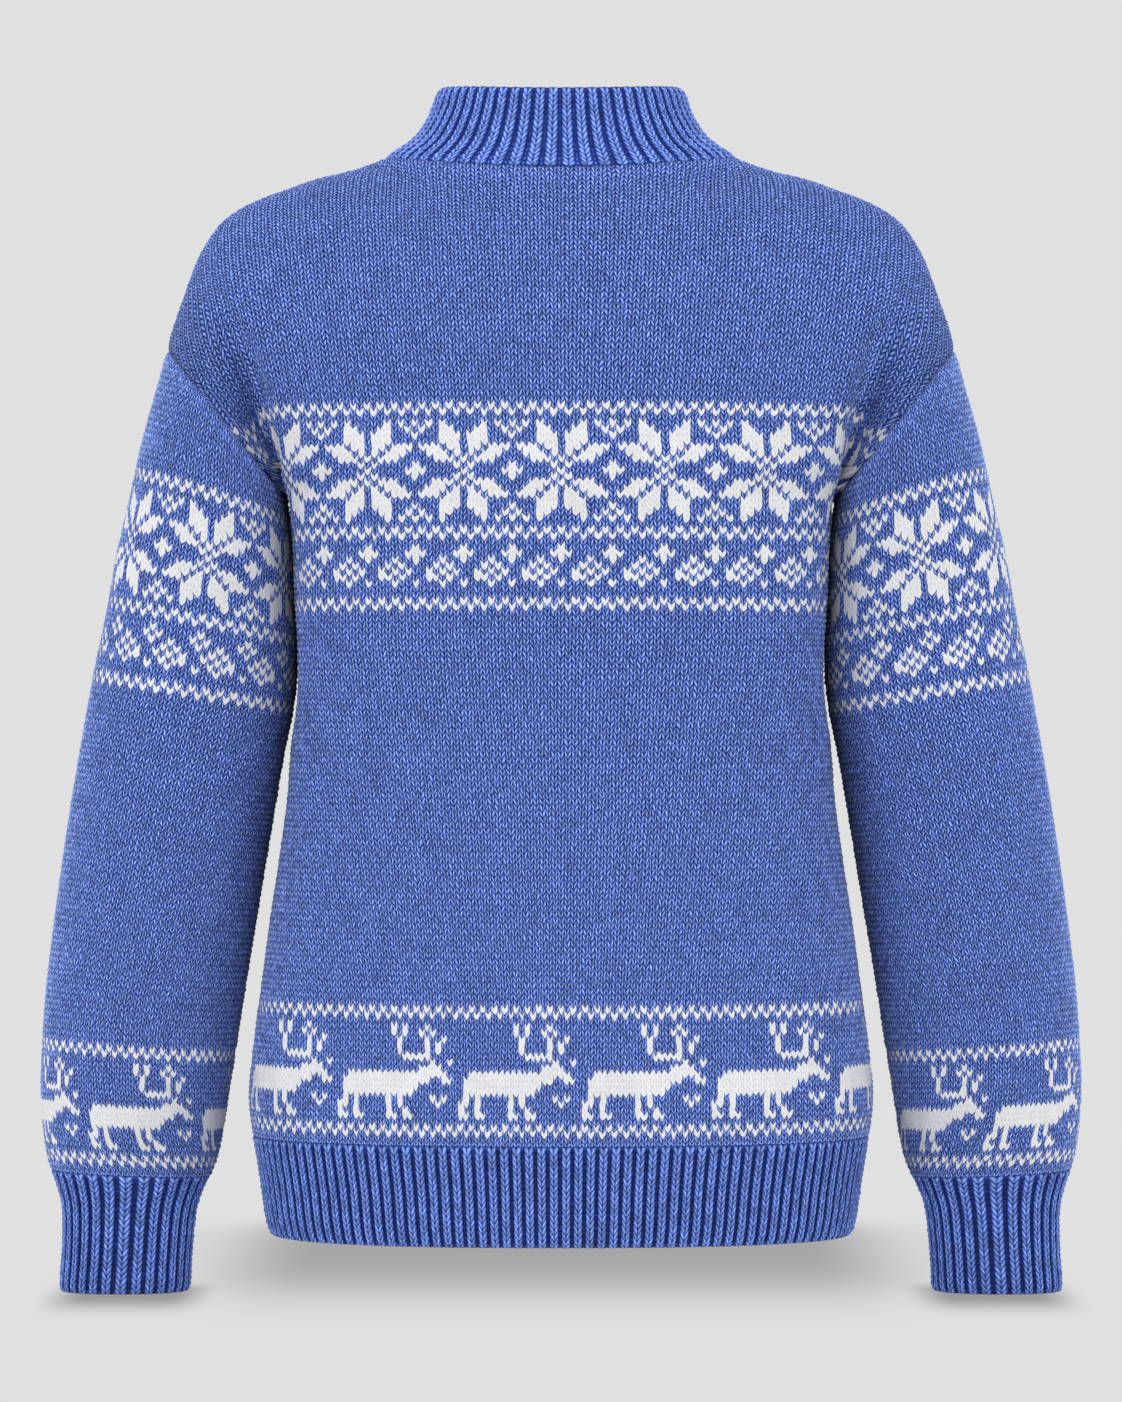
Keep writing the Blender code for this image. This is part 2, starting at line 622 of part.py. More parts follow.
def sleeve_faces():
    """Outer and inner rings of the wearer's right sleeve (+X)."""
    turns = sleeve_turns()
    rings = np.array([ring_point(row, turns) for row in SLEEVE])
    back, back_out, back_across = (v[::-1] for v in armhole_edge(False, SLEEVE_LEAN))
    fore, fore_out, fore_across = armhole_edge(True, SLEEVE_LEAN)
    edge = np.vstack([back, fore[1:-1]])
    rings[0] = edge
    # The ring under the armhole turns a third of the way to the seam's own directions.
    normal = tube_normals(rings)
    normal[0] = np.vstack([back_out, fore_out[1:-1]])
    normal[1] = unit(normal[0] + 2 * normal[1])
    across = np.vstack([back_across, fore_across[1:-1]])
    inner = rings - normal * WALL
    rings[0] += across * SEAM_GAP / 2
    inner[0] += across * SEAM_GAP / 2
    return rings, inner


def tube(name, outer, inner, flip, material):
    """A sleeve or cuff as one solid; flip mirrors it to the other arm."""
    side = np.array([-1, 1, 1]) if flip else np.array([1, 1, 1])
    outer_at = np.linspace(0, 1, outer.shape[1] + 1)
    inner_at = np.linspace(0, 1, inner.shape[1] + 1)
    return solid(name, outer * side, inner * side, outer_at, inner_at, True, material)


def cuff_faces(sleeve_outer, sleeve_inner):
    """Ribbed outer rings and plain inner rings of a cuff under the sleeve's last ring."""
    turns = sleeve_turns()
    edge, into = sleeve_outer[-1], unit(sleeve_inner[-1] - sleeve_outer[-1])
    around = np.concatenate([turns, [360.0]])
    places, drops, plain = rib_places(CUFF_RIBS, 0.0, 360.0, True)
    drop = np.array([0, 0, SEAM_GAP])
    closed_edge, closed_in = np.vstack([edge, edge[:1]]), np.vstack([into, into[:1]])
    outer = [run_along(closed_edge, around, places) - drop]
    outer_in = [run_along(closed_in, around, places)]
    inner = [run_along(closed_edge, around, plain) - drop]
    inner_in = [run_along(closed_in, around, plain)]
    for z, x_out, x_in, deep in CUFF:
        row = (z, x_out, z, x_in, deep, SLEEVE[-1, 5])
        for at, rows, ways in ((places, outer, outer_in), (plain, inner, inner_in)):
            ring = ring_point(row, at)
            run = ring_point(row, at + 2) - ring_point(row, at - 2)
            way = unit(np.stack([-run[:, 1], run[:, 0], np.zeros(len(at))], axis=1))
            middle = ring.mean(axis=0)
            way *= np.where(((ring - middle) * way).sum(1, keepdims=True) > 0, -1, 1)
            rows.append(ring)
            ways.append(way)
    outer = np.array(outer) + np.array(outer_in) * drops[None, :, None]
    inner = np.array(inner) + np.array(inner_in) * RIB_WALL
    return outer, inner, places / 360, plain / 360


def neck_ring(k, turns):
    """Row k of the neckband at angles from the middle of the back (0) to the front (180)."""
    _, half, back_y, back_z, side_z, front_y, front_z = COLLAR[k]
    a = np.radians(turns)
    rear = np.cos(a) > 0
    side_y = COLLAR_SIDE_Y[k]
    y = side_y + np.where(rear, back_y - side_y, side_y - front_y) * np.cos(a)
    z = side_z * np.sin(a) ** 2 + np.where(rear, back_z, front_z) * np.cos(a) ** 2
    return np.stack([half * np.sin(a), y, z], axis=-1)


def neckband(material):
    """The sewn-on ribbed collar, which stands on the panels' neck edge."""
    half_turns = neck_turn(HALF_PLACES[HALF_PLACES <= NECK_SHARE + 1e-9])
    edges = {side: neck_edge(side == "front", half_turns) for side in ("back", "front")}
    flip = np.array([-1, 1, 1])
    ring = [np.concatenate([a, b[-2::-1]]) for a, b in zip(edges["back"], edges["front"])]
    whole = [np.concatenate([a, a[-2:0:-1] * flip]) for a in ring]
    quarter = np.concatenate([half_turns, 180 - half_turns[-2::-1]])
    around = np.concatenate([quarter, 360 - quarter[-2:0:-1], [360.0]])
    points, out, up = (np.vstack([a, a[:1]]) for a in whole)
    places, drops, plain = rib_places(NECK_RIBS, 0.0, 360.0, True)
    outer, inner = [], []
    for k in range(len(COLLAR)):
        for at, rows, drop in ((places, outer, drops), (plain, inner, None)):
            if k == 0:
                ring_at = run_along(points, around, at) + run_along(up, around, at) * SEAM_GAP
                way = -unit(run_along(out, around, at))
            else:
                ring_at = neck_ring(k, at)
                nearby = [j for j in (k - 1, k + 1) if j < len(COLLAR)]
                rise = neck_ring(nearby[-1], at) - neck_ring(nearby[0], at)
                if len(nearby) == 1:
                    rise = ring_at - neck_ring(k - 1, at)
                run = neck_ring(k, at + 2) - neck_ring(k, at - 2)
                way = unit(np.cross(run, rise))
                middle = ring_at.mean(axis=0)
                facing = ((ring_at - middle) * (1, 1, 0) * way).sum(1, keepdims=True)
                way *= np.where(facing > 0, -1, 1)
            depth = RIB_WALL if drop is None else drop[:, None]
            rows.append(ring_at + way * depth)
    outer_at = np.concatenate([places / 360, [places[0] / 360 + 1]])
    inner_at = np.concatenate([plain / 360, [plain[0] / 360 + 1]])
    return solid(
        "neckband", np.array(outer), np.array(inner), outer_at, inner_at, True, material
    )


for leftover in list(bpy.data.objects):
    bpy.data.objects.remove(leftover, do_unlink=True)

knit = colour("blue_wool_knit", (0.093, 0.148, 0.445), 0.9)
rib = colour("blue_wool_rib", (0.082, 0.132, 0.410), 0.9)

FACES = {side: panel_faces(side) for side in ("back", "front")}
for side_name, (outer_grid, inner_grid) in FACES.items():
    solid(f"{side_name}_panel", outer_grid, inner_grid, PLACES, PLACES, False, knit)
    hem(side_name, rib)

right_outer, right_inner = sleeve_faces()
cuff_outer, cuff_inner, outer_share, inner_share = cuff_faces(right_outer, right_inner)
for side_name, mirror in (("right", False), ("left", True)):
    tube(f"{side_name}_sleeve", right_outer, right_inner, mirror, knit)
    sign = np.array([-1, 1, 1]) if mirror else np.array([1, 1, 1])
    solid(
        f"{side_name}_cuff",
        cuff_outer * sign,
        cuff_inner * sign,
        np.append(outer_share, outer_share[0] + 1),
        np.append(inner_share, inner_share[0] + 1),
        True,
        rib,
    )
neckband(rib)
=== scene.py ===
"""Looks of a knitted pullover: every stitch of its cloth, its ribs, its seams and patterns.

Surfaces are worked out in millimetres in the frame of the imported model: +Z up, the back of
the garment faces -Y and the origin is the middle of the neck's base. Each knitted piece is
a wall between a lattice of stitches outside and a plain face inside, and replaces the CAD
node of its name.
"""

import math

import bpy
import numpy as np
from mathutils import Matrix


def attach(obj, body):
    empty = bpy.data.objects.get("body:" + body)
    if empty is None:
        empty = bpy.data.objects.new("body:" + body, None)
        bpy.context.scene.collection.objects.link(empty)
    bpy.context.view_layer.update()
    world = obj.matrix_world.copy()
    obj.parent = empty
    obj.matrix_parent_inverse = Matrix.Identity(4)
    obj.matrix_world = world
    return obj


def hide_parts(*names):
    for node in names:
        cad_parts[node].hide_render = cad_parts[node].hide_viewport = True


MM = 0.001

FINE = 361                 # points across or round a fine grid
RIB_RINGS = 31             # rows of a rib's fine grid
PANEL_ROWS = (160, 110)    # rows of a panel's fine grid below and above SIDE_TOP
SLEEVE_RINGS = 260
ARC_STEPS = 181            # points of a level section before it is read by length
INSIDE_GRID = (74, 91)     # rows and points across of a knitted piece's plain inside
WALL = 2.6                 # knitted cloth, mm
RIB_WALL = 3.5             # crest of a rib to its plain inside
SEAM_GAP = 0.3             # left between a hem and its panel
HEM_TOP = -584.0
HEM_END = -644.0
SIDE_TOP = -203.0          # height where the panels' upper rows begin
UNDERARM = -203.2
UNDERARM_X = 162.6
SHOULDER_TIP = (236.6, -114.0)
ARMHOLE_DEEP = 66.0
NECK_SHARE = 0.43          # place across a panel where its neck curve ends
HEM_RIBS = 68
CUFF_RIBS = 30
NECK_RIBS = 60
FACING = {"back": (1, -1, 1), "front": (1, 1, 1)}   # turns outward depths to the frame's y

# Level sections of the body: height, half width, depth to the back, depth to the front.
BODY = np.array([
    [-644, 174.6, 110, 113],
    [-636, 176.6, 111, 114],
    [-612, 180.2, 113, 116],
    [-584, 184.5, 117, 120],
    [-564, 186.6, 119, 122],
    [-528, 183.6, 117, 121],
    [-492, 178.8, 114, 119],
    [-456, 174.0, 110, 118],
    [-420, 168.6, 107, 118],
    [-384, 163.8, 105, 119],
    [-348, 161.2, 105, 121],
    [-312, 161.4, 107, 124],
    [-288, 161.6, 109, 127],
    [-264, 163.2, 111, 129],
    [-240, 164.4, 113, 131],
    [-216, 166.6, 115, 132],
    [-203, 168.4, 116, 132],
], float)
BODY_SQUARE = (2.4, 2.25)   # squareness of the back and front halves of a level section
PRESSED = (6.0, 26.0)       # how deep and wide the arm presses the body's side in, mm
PRESSED_FROM, PRESSED_TO = -352.0, -316.0

# Named places across half a panel, and its upper rows there: x, depth, z.
ACROSS = np.array([0, 0.22, NECK_SHARE, 0.60, 0.74, 0.82, 0.87, 0.93, 1.0, 1.06])
BACK_ROWS = {
    0.5: [(0, 117, -184), (56, 115.5, -184), (104, 104, -184), (137, 88, -184.5),
          (157, 71, -185.5), (165.2, 52, -188), (165.6, 40, -192), (165.6, 31, -196.4)],
    1: [(0, 117, -165), (56, 115, -165), (104, 103, -165), (137, 87, -166),
        (156, 69, -169), (166.6, 54, -174), (167.2, 44, -180), (168.4, 41, -187)],
    2: [(0, 117, -126), (57, 115, -126), (106, 103, -126), (140, 89, -128),
        (160, 76, -133), (172, 64, -140), (175.5, 50, -150), (181, 52.5, -162)],
    3: [(0, 108, -87), (57, 106, -86.5), (107, 95, -85), (145, 83, -88),
        (170, 74, -95), (183, 67, -104), (187.5, 58, -113), (198, 60, -129)],
    4: [(0, 90, -48), (56, 87, -46), (105, 68, -38), (150, 57, -43),
        (183, 53, -60), (200, 51, -76), (208, 48.5, -90), (217.5, 48, -106)],
}
FRONT_ROWS = {
    0.5: [(0, 132, -187.5), (56, 129.5, -187), (104, 115, -186), (137, 96, -185.5),
          (157, 73, -186), (165.2, 53, -188.5), (165.6, 41, -192.3), (165.6, 31, -196.6)],
    1: [(0, 131, -172), (56, 128, -171), (104, 113, -168), (137, 93, -167),
        (156, 72, -170), (166.6, 56, -175), (167.2, 45, -181), (168.4, 41, -187)],
    2: [(0, 126, -144), (57, 123, -142), (106, 109, -134), (140, 92, -131),
        (160, 77, -135), (171, 64, -142), (175.5, 51, -151), (181.5, 53, -162)],
    3: [(0, 117, -116), (57, 113, -112), (107, 98, -97), (145, 83, -93),
        (170, 72, -98), (183, 65, -106), (187.5, 57.5, -114.5), (198, 60, -129)],
    4: [(0, 104, -88), (55, 98, -77), (104, 70, -48), (149, 56, -46),
        (183, 51, -61), (200, 49, -77), (208, 48, -91), (217.5, 48, -107)],
}
ROW_AT = (0, 0.5, 1, 2, 3, 4, 5)
ARMHOLE_TURN = (180, 160, 140, 110, 78, 42, 0)
ROW_RISE = 40.0

# Shoulder seam from the neck corner to the tip: x, z.
SHOULDER = np.array([
    (106, 2), (127.5, -6), (146, -10.8), (165.6, -18), (182, -24), (194, -30),
    (202.5, -36), (212, -48), (218.5, -60), (223, -72), (227, -84), (231.3, -96),
    SHOULDER_TIP,
], float)

# Rings of a sleeve: z outside, x outside, z inside, x inside, half depth, middle's y.
SLEEVE = np.array([
    [-114, 236.6, -203.2, 162.6, 66.0, 0.0],
    [-132, 240.9, -208.5, 163.8, 65.2, 0.1],
    [-152, 246.6, -217.0, 162.6, 63.8, 0.2],
    [-176, 252.8, -230.0, 161.2, 62.0, 0.4],
    [-204, 258.8, -248.0, 160.2, 60.0, 0.7],
    [-236, 266.4, -269.0, 159.4, 58.0, 1.1],
    [-270, 272.4, -295.0, 158.2, 56.0, 1.8],
    [-306, 280.0, -325.0, 160.4, 54.4, 2.8],
    [-344, 287.0, -358.0, 167.0, 53.2, 4.0],
    [-384, 293.9, -394.0, 173.2, 52.2, 5.4],
    [-424, 300.0, -431.0, 179.4, 51.6, 7.0],
    [-462, 305.2, -467.0, 185.4, 51.0, 8.0],
    [-498, 309.5, -501.0, 191.0, 50.4, 9.0],
    [-530, 311.8, -532.0, 195.8, 49.2, 10.0],
    [-558, 312.8, -561.0, 200.4, 47.0, 10.8],
    [-580, 311.6, -583.0, 203.8, 43.6, 11.4],
    [-596, 309.4, -599.0, 207.2, 39.6, 11.8],
    [-606, 306.8, -610.0, 211.0, 36.4, 12.0],
], float)
# Rows of a cuff, in the same columns.
CUFF = np.array([
    [-606.3, 306.8, -610.3, 211.0, 36.4, 12.0],
    [-617, 303.2, -617, 214.4, 34.0, 12.0],
    [-630, 300.4, -630, 219.0, 31.4, 12.0],
    [-654, 300.4, -654, 221.6, 30.4, 12.0],
    [-679.2, 302.4, -679.2, 222.8, 30.6, 12.0],
], float)
SLEEVE_SQUARE = 2.15

# Rows of the neckband: share of its height, half width, then y and z at the middle of the
# back, z at the side, y and z at the middle of the front.
COLLAR = np.array([
    [0.00, 106.0, -64.0, -8.0, 2.0, 88.0, -60.0],
    [0.20, 92.0, -61.5, 3.0, 11.0, 83.0, -48.0],
    [0.52, 81.6, -59.5, 19.0, 24.0, 79.5, -31.0],
    [1.00, 74.2, -58.0, 38.5, 44.0, 77.0, -7.0],
], float)
COLLAR_SIDE_Y = (0.0, 5.0, 8.0, 9.5)

# Soft creases: piece, place across or round, height, half length, half width, lean in
# degrees and depth in mm.
CREASES = [
    ("back", 0.84, -236, 46, 9, 12, 3.4),
    ("back", -0.86, -228, 39, 8, -9, 2.8),
    ("back", 0.72, -356, 58, 15, 24, 2.2),
    ("back", -0.66, -392, 71, 18, -21, 1.8),
    ("back", 0.30, -548, 34, 16, 8, 1.6),
    ("back", -0.18, -556, 27, 13, -5, 1.3),
    ("back", -0.52, -541, 38, 15, 6, 2.0),
    ("front", 0.80, -232, 52, 9, 16, 3.8),
    ("front", -0.83, -240, 43, 10, -12, 3.1),
    ("front", -0.45, -338, 66, 19, -34, 2.3),
    ("front", 0.58, -372, 49, 14, 28, 2.0),
    ("front", 0.12, -551, 31, 14, -7, 1.7),
    ("front", -0.37, -544, 40, 17, 4, 2.1),
    ("front", 0.66, -550, 29, 12, 9, 1.4),
]

# The knitting: rise of one row, and width of one stitch by height on the body and by row
# on a sleeve. The cloth is stretched wider over the chest than at the hem.
ROW = 3.45
BODY_STITCH_AT = (-584, -500, -290, -150, -3)
BODY_STITCH = (3.36, 3.36, 4.18, 4.20, 4.85)
LEANS = {"back": 0.030, "front": -0.012}   # how much wider stitches are to one side
SLEEVE_STITCH_AT = (0, 26, 84, 140)
SLEEVE_STITCH = (3.22, 3.22, 4.25, 4.25)
DIP = 0.72             # rows by which the middle of a stitch hangs below its sides
LEG_RISE = 0.95        # crest of a stitch's leg above the hollows round it, mm
LEG_SUNK = 0.5         # hollows below the wall's even face, mm
TUCK = (1.7, 2.6)      # depth of a seam's groove and how far it reaches, mm
JITTER = 0.30          # how far a stitch's corners stray, mm
WHITE_RISE = 0.6       # share of LEG_RISE that a white stitch has
GROOVE_DARK = 0.35     # painted shade: how much a seam's groove darkens the cloth
HOOKED = (0.30, 5, 3)  # row below a top seam: how much lighter, its place and reach, mm
HUG = (0.65, 5)        # how far the cloth stands out beside a side seam, and its reach, mm
SIDE_TUCK_AT = (-222, -182)   # heights between which a side seam's groove deepens
SIDE_TUCK = (0.15, 1)
TONE_MOST = 1.5        # how far a stitch's own tone may stray, in its own measure
LEG_VARIES = 0.15      # share of a leg's rise for each of its tone
CREST_STRAYS = 0.12    # how far a leg's crest strays, as a share of its cell
JOINED = 0.05          # rows within which a stitch belongs to the seam below
EDGE_SPARE = 0.15      # stitches that the outermost line keeps from a piece's edge
LINES_SPARE = 1.06     # more lines than fit, for those drawn together by a lean
TOP_SPARE = 0.4        # rows by which the last one may fall short of the top

# Row numbers on a sleeve and their heights at its outer and inner edge.
SLEEVE_ROWS = np.array([
    [0, -606, -610],
    [2, -598, -603],
    [24, -525, -533],
    [84, -311, -331],
    [119, -183, -213],
], float)
LEVEL_TO = -146.0      # height up to which the body's rows are level
FOLD_PLACE = 0.90      # place across of the fold beside the armhole
FOLD_HALF = 215        # length of half a panel's row there, mm
FOLD_AT = (-214, -196, -172, -120, -86, -62)
FOLD_DEEP = (0, 4.5, 8, 8, 4, 0)
FOLD_DARK = 0.055      # painted shade: how much the cloth darkens for each mm of the fold's depth
BEHIND_DROP = 13       # how far the rows behind the fold hang lower, mm
MOST_ROWS = 240
STITCHES = np.arange(-90, 91)   # stitch numbers of a chart, 0 in the middle of a piece
BODY_CHEST = 91        # lowest row of the chest band
SLEEVE_CHEST = 84
DEER_FROM = 2          # lowest row of the reindeer band

# Stitch at the middle of a star, and for the reindeer their way and their stitch in the
# middle of the body or at a sleeve's outer edge.
STARS_TURN = {"back": 0, "front": 0, "right": 21, "left": -22}
DEER_TURN = {"back": (1, 18), "front": (-1, 18), "right": (1, 3), "left": (-1, 5)}

# Charts, one character a stitch, the top row first: x is white.
BORDER = """
x.
.x
"""
STAR = """
...x.x.x
..xx..x.
.xxx...x
.xxx....
.xx.xxx.
.x.xxx..
x.xxx...
.x.....x
x.....xx
"""
SMALL = """
x......
xx....x
x...x..
...x.x.
..x.x.x
..xx.x.
x...x..
"""
SLEEVE_SMALL = """
x......
.x....x
x...x..
...x.x.
..x.x.x
..xx.x.
x...x..
"""
REINDEER = """
..........x.x...x.....
..........x.x..x.x....
...........x....x..x..
...........x....x.x...
...........x....x.x...
............xxxxx.....
.................x..x.
...............xxxx...
..xxxxxxxxxxxxxxxxxx..
.xxxxxxxxxxxxxxxx..xx.
.xxxxxxxxxxxxxx.......
.xxxxxxxxxxxxx........
.x.x.....x.x.....x.x..
xx.x.....x.x......x...
x..x.....x..x.........
xx.xx....xx.xx........
"""


# ---------------------------------------------------------------- shared curves


def curve(knots, values, at):
    """Smooth cubic through values at the knots: each slope is its neighbours' mean."""
    knots = np.asarray(knots, float)
    values = np.asarray(values, float)
    at = np.asarray(at, float)
    if values.ndim == 1:
        return curve(knots, values[:, None], at)[..., 0]
    step = np.diff(knots)[:, None]
    slope = np.diff(values, axis=0) / step
    inner = (slope[:-1] * step[1:] + slope[1:] * step[:-1]) / (step[:-1] + step[1:])
    tangent = np.vstack([slope[:1], inner, slope[-1:]])
    i = np.clip(np.searchsorted(knots, at, side="right") - 1, 0, len(step) - 1)
    t = ((at - knots[i]) / step[i, 0])[..., None]
    width = step[i]
    return (
        (1 + 2 * t) * (1 - t) ** 2 * values[i]
        + t * (1 - t) ** 2 * width * tangent[i]
        + t * t * (3 - 2 * t) * values[i + 1]
        + t * t * (t - 1) * width * tangent[i + 1]
    )


def soft(share):
    """Smooth step of a share from 0 to 1."""
    share = np.clip(share, 0, 1)
    return share * share * (3 - 2 * share)


def unit(v):
    """The same directions, one long."""
    return v / np.maximum(np.linalg.norm(v, axis=-1, keepdims=True), 1e-12)


def running(steps, axis=-1):
    """Running total of the steps along an axis, from nought."""
    return np.insert(np.cumsum(steps, axis=axis), 0, 0, axis=axis)


def run_lengths(points):
    """Length along each row of a grid of points, from its first point."""
    return running(np.linalg.norm(np.diff(points, axis=1), axis=2))


def reach_across(points):
    """Rising measure along each row of a panel. Cloth that faces the back or front counts
    its length, and cloth that turns to the side counts less, since it is stretched."""
    step = np.diff(points, axis=1)
    whole = np.linalg.norm(step, axis=2)
    level = np.hypot(step[..., 0], 0.5 * whole) / 1.118   # a level step counts its length
    return running(np.maximum(level, 0.74 * whole))


def turned_over(picked, axis):
    """Factors that turn over one coordinate of the points that are picked."""
    factors = np.ones((len(picked), 3))
    factors[picked, axis] = -1
    return factors


def wrapped_round(grid):
    """A grid of closed rings with one more column at each end, for slopes over the join."""
    return np.concatenate([grid[:, -2:-1], grid, grid[:, 1:2]], axis=1)


def spread(values, at, wanted):
    """Each row of values, given at rising places, read at the wanted places by straight
    lines between its neighbours."""
    rows = [
        np.stack([np.interp(w, a, v[:, i]) for i in range(v.shape[1])], axis=1)
        for v, a, w in zip(values, at, wanted)
    ]
    return np.array(rows)


def grid_normals(grid, middle_y=None):
    """Unit normals of a grid of points, the cross product of its slopes across and up,
    turned away from the middle of each row."""
    across = np.gradient(grid, axis=1)
    up = np.gradient(grid, axis=0)
    normal = unit(np.cross(across, up))
    middle = grid.mean(axis=1, keepdims=True)
    if middle_y is not None:
        middle = middle * (1, 0, 1) + (0, middle_y, 0)
    facing = ((grid - middle) * normal).sum(-1).mean()
    return normal * (1 if facing > 0 else -1)


# ---------------------------------------------------------------- the body's surface


def body_arc(z, across, front):
    """Points of a level section from its middle (0) to its side (1), by length: a quarter
    of a squared oval, pressed in at the side by a bell of its depth. Past 1 it goes on
    round, mirrored."""
    half, back_deep, front_deep = curve(BODY[:, 0], BODY[:, 1:], np.array([z]))[0]
    deep = front_deep if front else back_deep
    power = 2 / BODY_SQUARE[1 if front else 0]
    turn = np.linspace(0, math.pi / 2, ARC_STEPS)
    x = half * np.sin(turn) ** power
    y = deep * np.cos(turn).clip(0) ** power
    pressed = PRESSED[0] * soft((z - PRESSED_FROM) / (PRESSED_TO - PRESSED_FROM))
    x -= pressed * np.exp(-(y / PRESSED[1]) ** 2)
    length = running(np.hypot(np.diff(x), np.diff(y)))
    inside = np.where(across > 1, 2 - across, across)
    px = np.interp(inside * length[-1], length, x)
    py = np.interp(inside * length[-1], length, y) * np.where(across > 1, -1, 1)
    return np.stack([px, py, np.full(len(px), z)], axis=1)


def armhole_point(turn):
    """Armhole at an angle: an ellipse tilted from the shoulder tip (0) to the underarm
    (180), with its depth positive."""
    turn = np.radians(turn)
    top = np.array([SHOULDER_TIP[0], 0, SHOULDER_TIP[1]])
    low = np.array([UNDERARM_X, 0, UNDERARM])
    middle, reach = (top + low) / 2, (top - low) / 2
    point = middle + np.cos(turn)[..., None] * reach
    point[..., 1] = ARMHOLE_DEEP * np.sin(turn)
    return point


def neck_point(turn, front):
    """Neck seam at an angle: a level ellipse from the middle of the panel (0) to the neck
    corner (90), whose height goes over by the square of the sine."""
    turn = np.radians(turn)
    row = COLLAR[0]
    deep, low = (row[5], row[6]) if front else (-row[2], row[3])
    z = row[4] * np.sin(turn) ** 2 + low * np.cos(turn) ** 2
    return np.stack([row[1] * np.sin(turn), deep * np.cos(turn), z], axis=-1)


def neck_turn(across):
    """Angle on the neck seam of a place across the panel: a line plus a cubic."""
    share = np.clip(np.abs(across) / NECK_SHARE, 0, 1)
    return 90 * (0.72 * share + 0.28 * share ** 3)


def shoulder_point(across):
    """Shoulder seam at a place across the panel, by length from the neck corner."""
    length = running(np.hypot(np.diff(SHOULDER[:, 0]), np.diff(SHOULDER[:, 1])))
    share = np.clip((across - NECK_SHARE) / (1 - NECK_SHARE), 0, 1)
    xz = curve(length, SHOULDER, share * length[-1])
    return np.stack([xz[..., 0], np.zeros(len(share)), xz[..., 1]], axis=-1)


def top_edge(across, front):
    """The panel's top edge: the neck seam, then the shoulder seam."""
    size = np.abs(across)
    neck = neck_point(neck_turn(size), front)
    point = np.where((size <= NECK_SHARE)[:, None], neck, shoulder_point(size))
    return point * turned_over(across < 0, 0)


def control_net(front):
    """Heights of the cloth and control points of half a panel, depth positive: level
    sections up to the underarm, then the given rows, each ending on the armhole, then the
    top edge. One row past the top and one column past the armhole set the slopes there."""
    heights, rows = [], []
    for z in np.concatenate([BODY[3:16, 0], [-208.0]]):
        heights.append(z)
        rows.append(body_arc(z, ACROSS, front))
    first = body_arc(SIDE_TOP, ACROSS, front)
    first[8] = armhole_point(180.0)
    first[9] = (UNDERARM_X + 2, -10, UNDERARM)
    heights.append(SIDE_TOP)
    rows.append(first)
    table = FRONT_ROWS if front else BACK_ROWS
    for k, turn in list(zip(ROW_AT, ARMHOLE_TURN))[1:-1]:
        edge = armhole_point(float(turn))
        past = edge + unit(np.array([0.72, -0.1 - 0.35 * (k == 4), -0.66])) * 14
        heights.append(SIDE_TOP + ROW_RISE * k)
        rows.append(np.array(table[k] + [tuple(edge), tuple(past)], float))
    heights.append(SIDE_TOP + ROW_RISE * 5)
    rows.append(np.vstack([top_edge(ACROSS[:9], front), [(239.8, -8, -124)]]))
    other = np.array((BACK_ROWS if front else FRONT_ROWS)[4], float) * (1, -1, 1)
    past = np.vstack([other, armhole_point(42.0) * (1, -1, 1), (236, -50, -140)])
    past[0] = (0, 82, -18) if front else (0, 61, 30)
    past[1] = (46, 66, -4) if front else (46, 50, 32)
    past[2] = (99, -33, -2)
    heights.append(SIDE_TOP + ROW_RISE * 6)
    rows.append(past)
    return np.array(heights), np.array(rows)


NETS = {side: control_net(side == "front") for side in ("back", "front")}


def place_on(side, across, height):
    """Points of a panel's outer face at places across and heights, one row a height:
    smooth cubics across the control points, then up through the columns so found."""
    heights, net = NETS[side]
    places = np.concatenate([-ACROSS[:0:-1], ACROSS])
    whole = np.concatenate([net[:, :0:-1] * (-1, 1, 1), net], axis=1)
    columns = curve(places, whole.transpose(1, 0, 2).reshape(len(places), -1), across)
    columns = columns.reshape(len(across), len(heights), 3).transpose(1, 0, 2)
    flat = curve(heights, columns.reshape(len(heights), -1), height)
    grid = flat.reshape(len(height), len(across), 3)
    grid[..., 1] *= 1 if side == "front" else -1
    return grid


def crease(side, grid, normal):
    """The points with their soft creases pressed in along the normals: each is a long
    bell, the product of one along it, one across it and one that keeps to its side."""
    out = grid.copy()
    for piece, place, height, half_long, half_wide, lean, deep in CREASES:
        if piece != side:
            continue
        middle = place_on(side, np.array([place]), np.array([float(height)]))[0, 0]
        level_at = np.abs(grid - middle).sum(-1)
        row, column = np.unravel_index(level_at.argmin(), level_at.shape)
        flow = normal[row, column]
        level = unit(np.cross(np.array([0, 0, 1.0]), flow))
        rise = np.cross(flow, level)
        a = math.radians(lean)
        along = rise * math.cos(a) + level * math.sin(a)
        cross = level * math.cos(a) - rise * math.sin(a)
        offset = grid - middle
        run, off = offset @ along / half_long, offset @ cross / half_wide
        near = np.exp(-(offset @ flow / 40) ** 2)
        out -= normal * (deep * near * np.exp(-run ** 2) * np.exp(-off ** 2))[..., None]
    return out


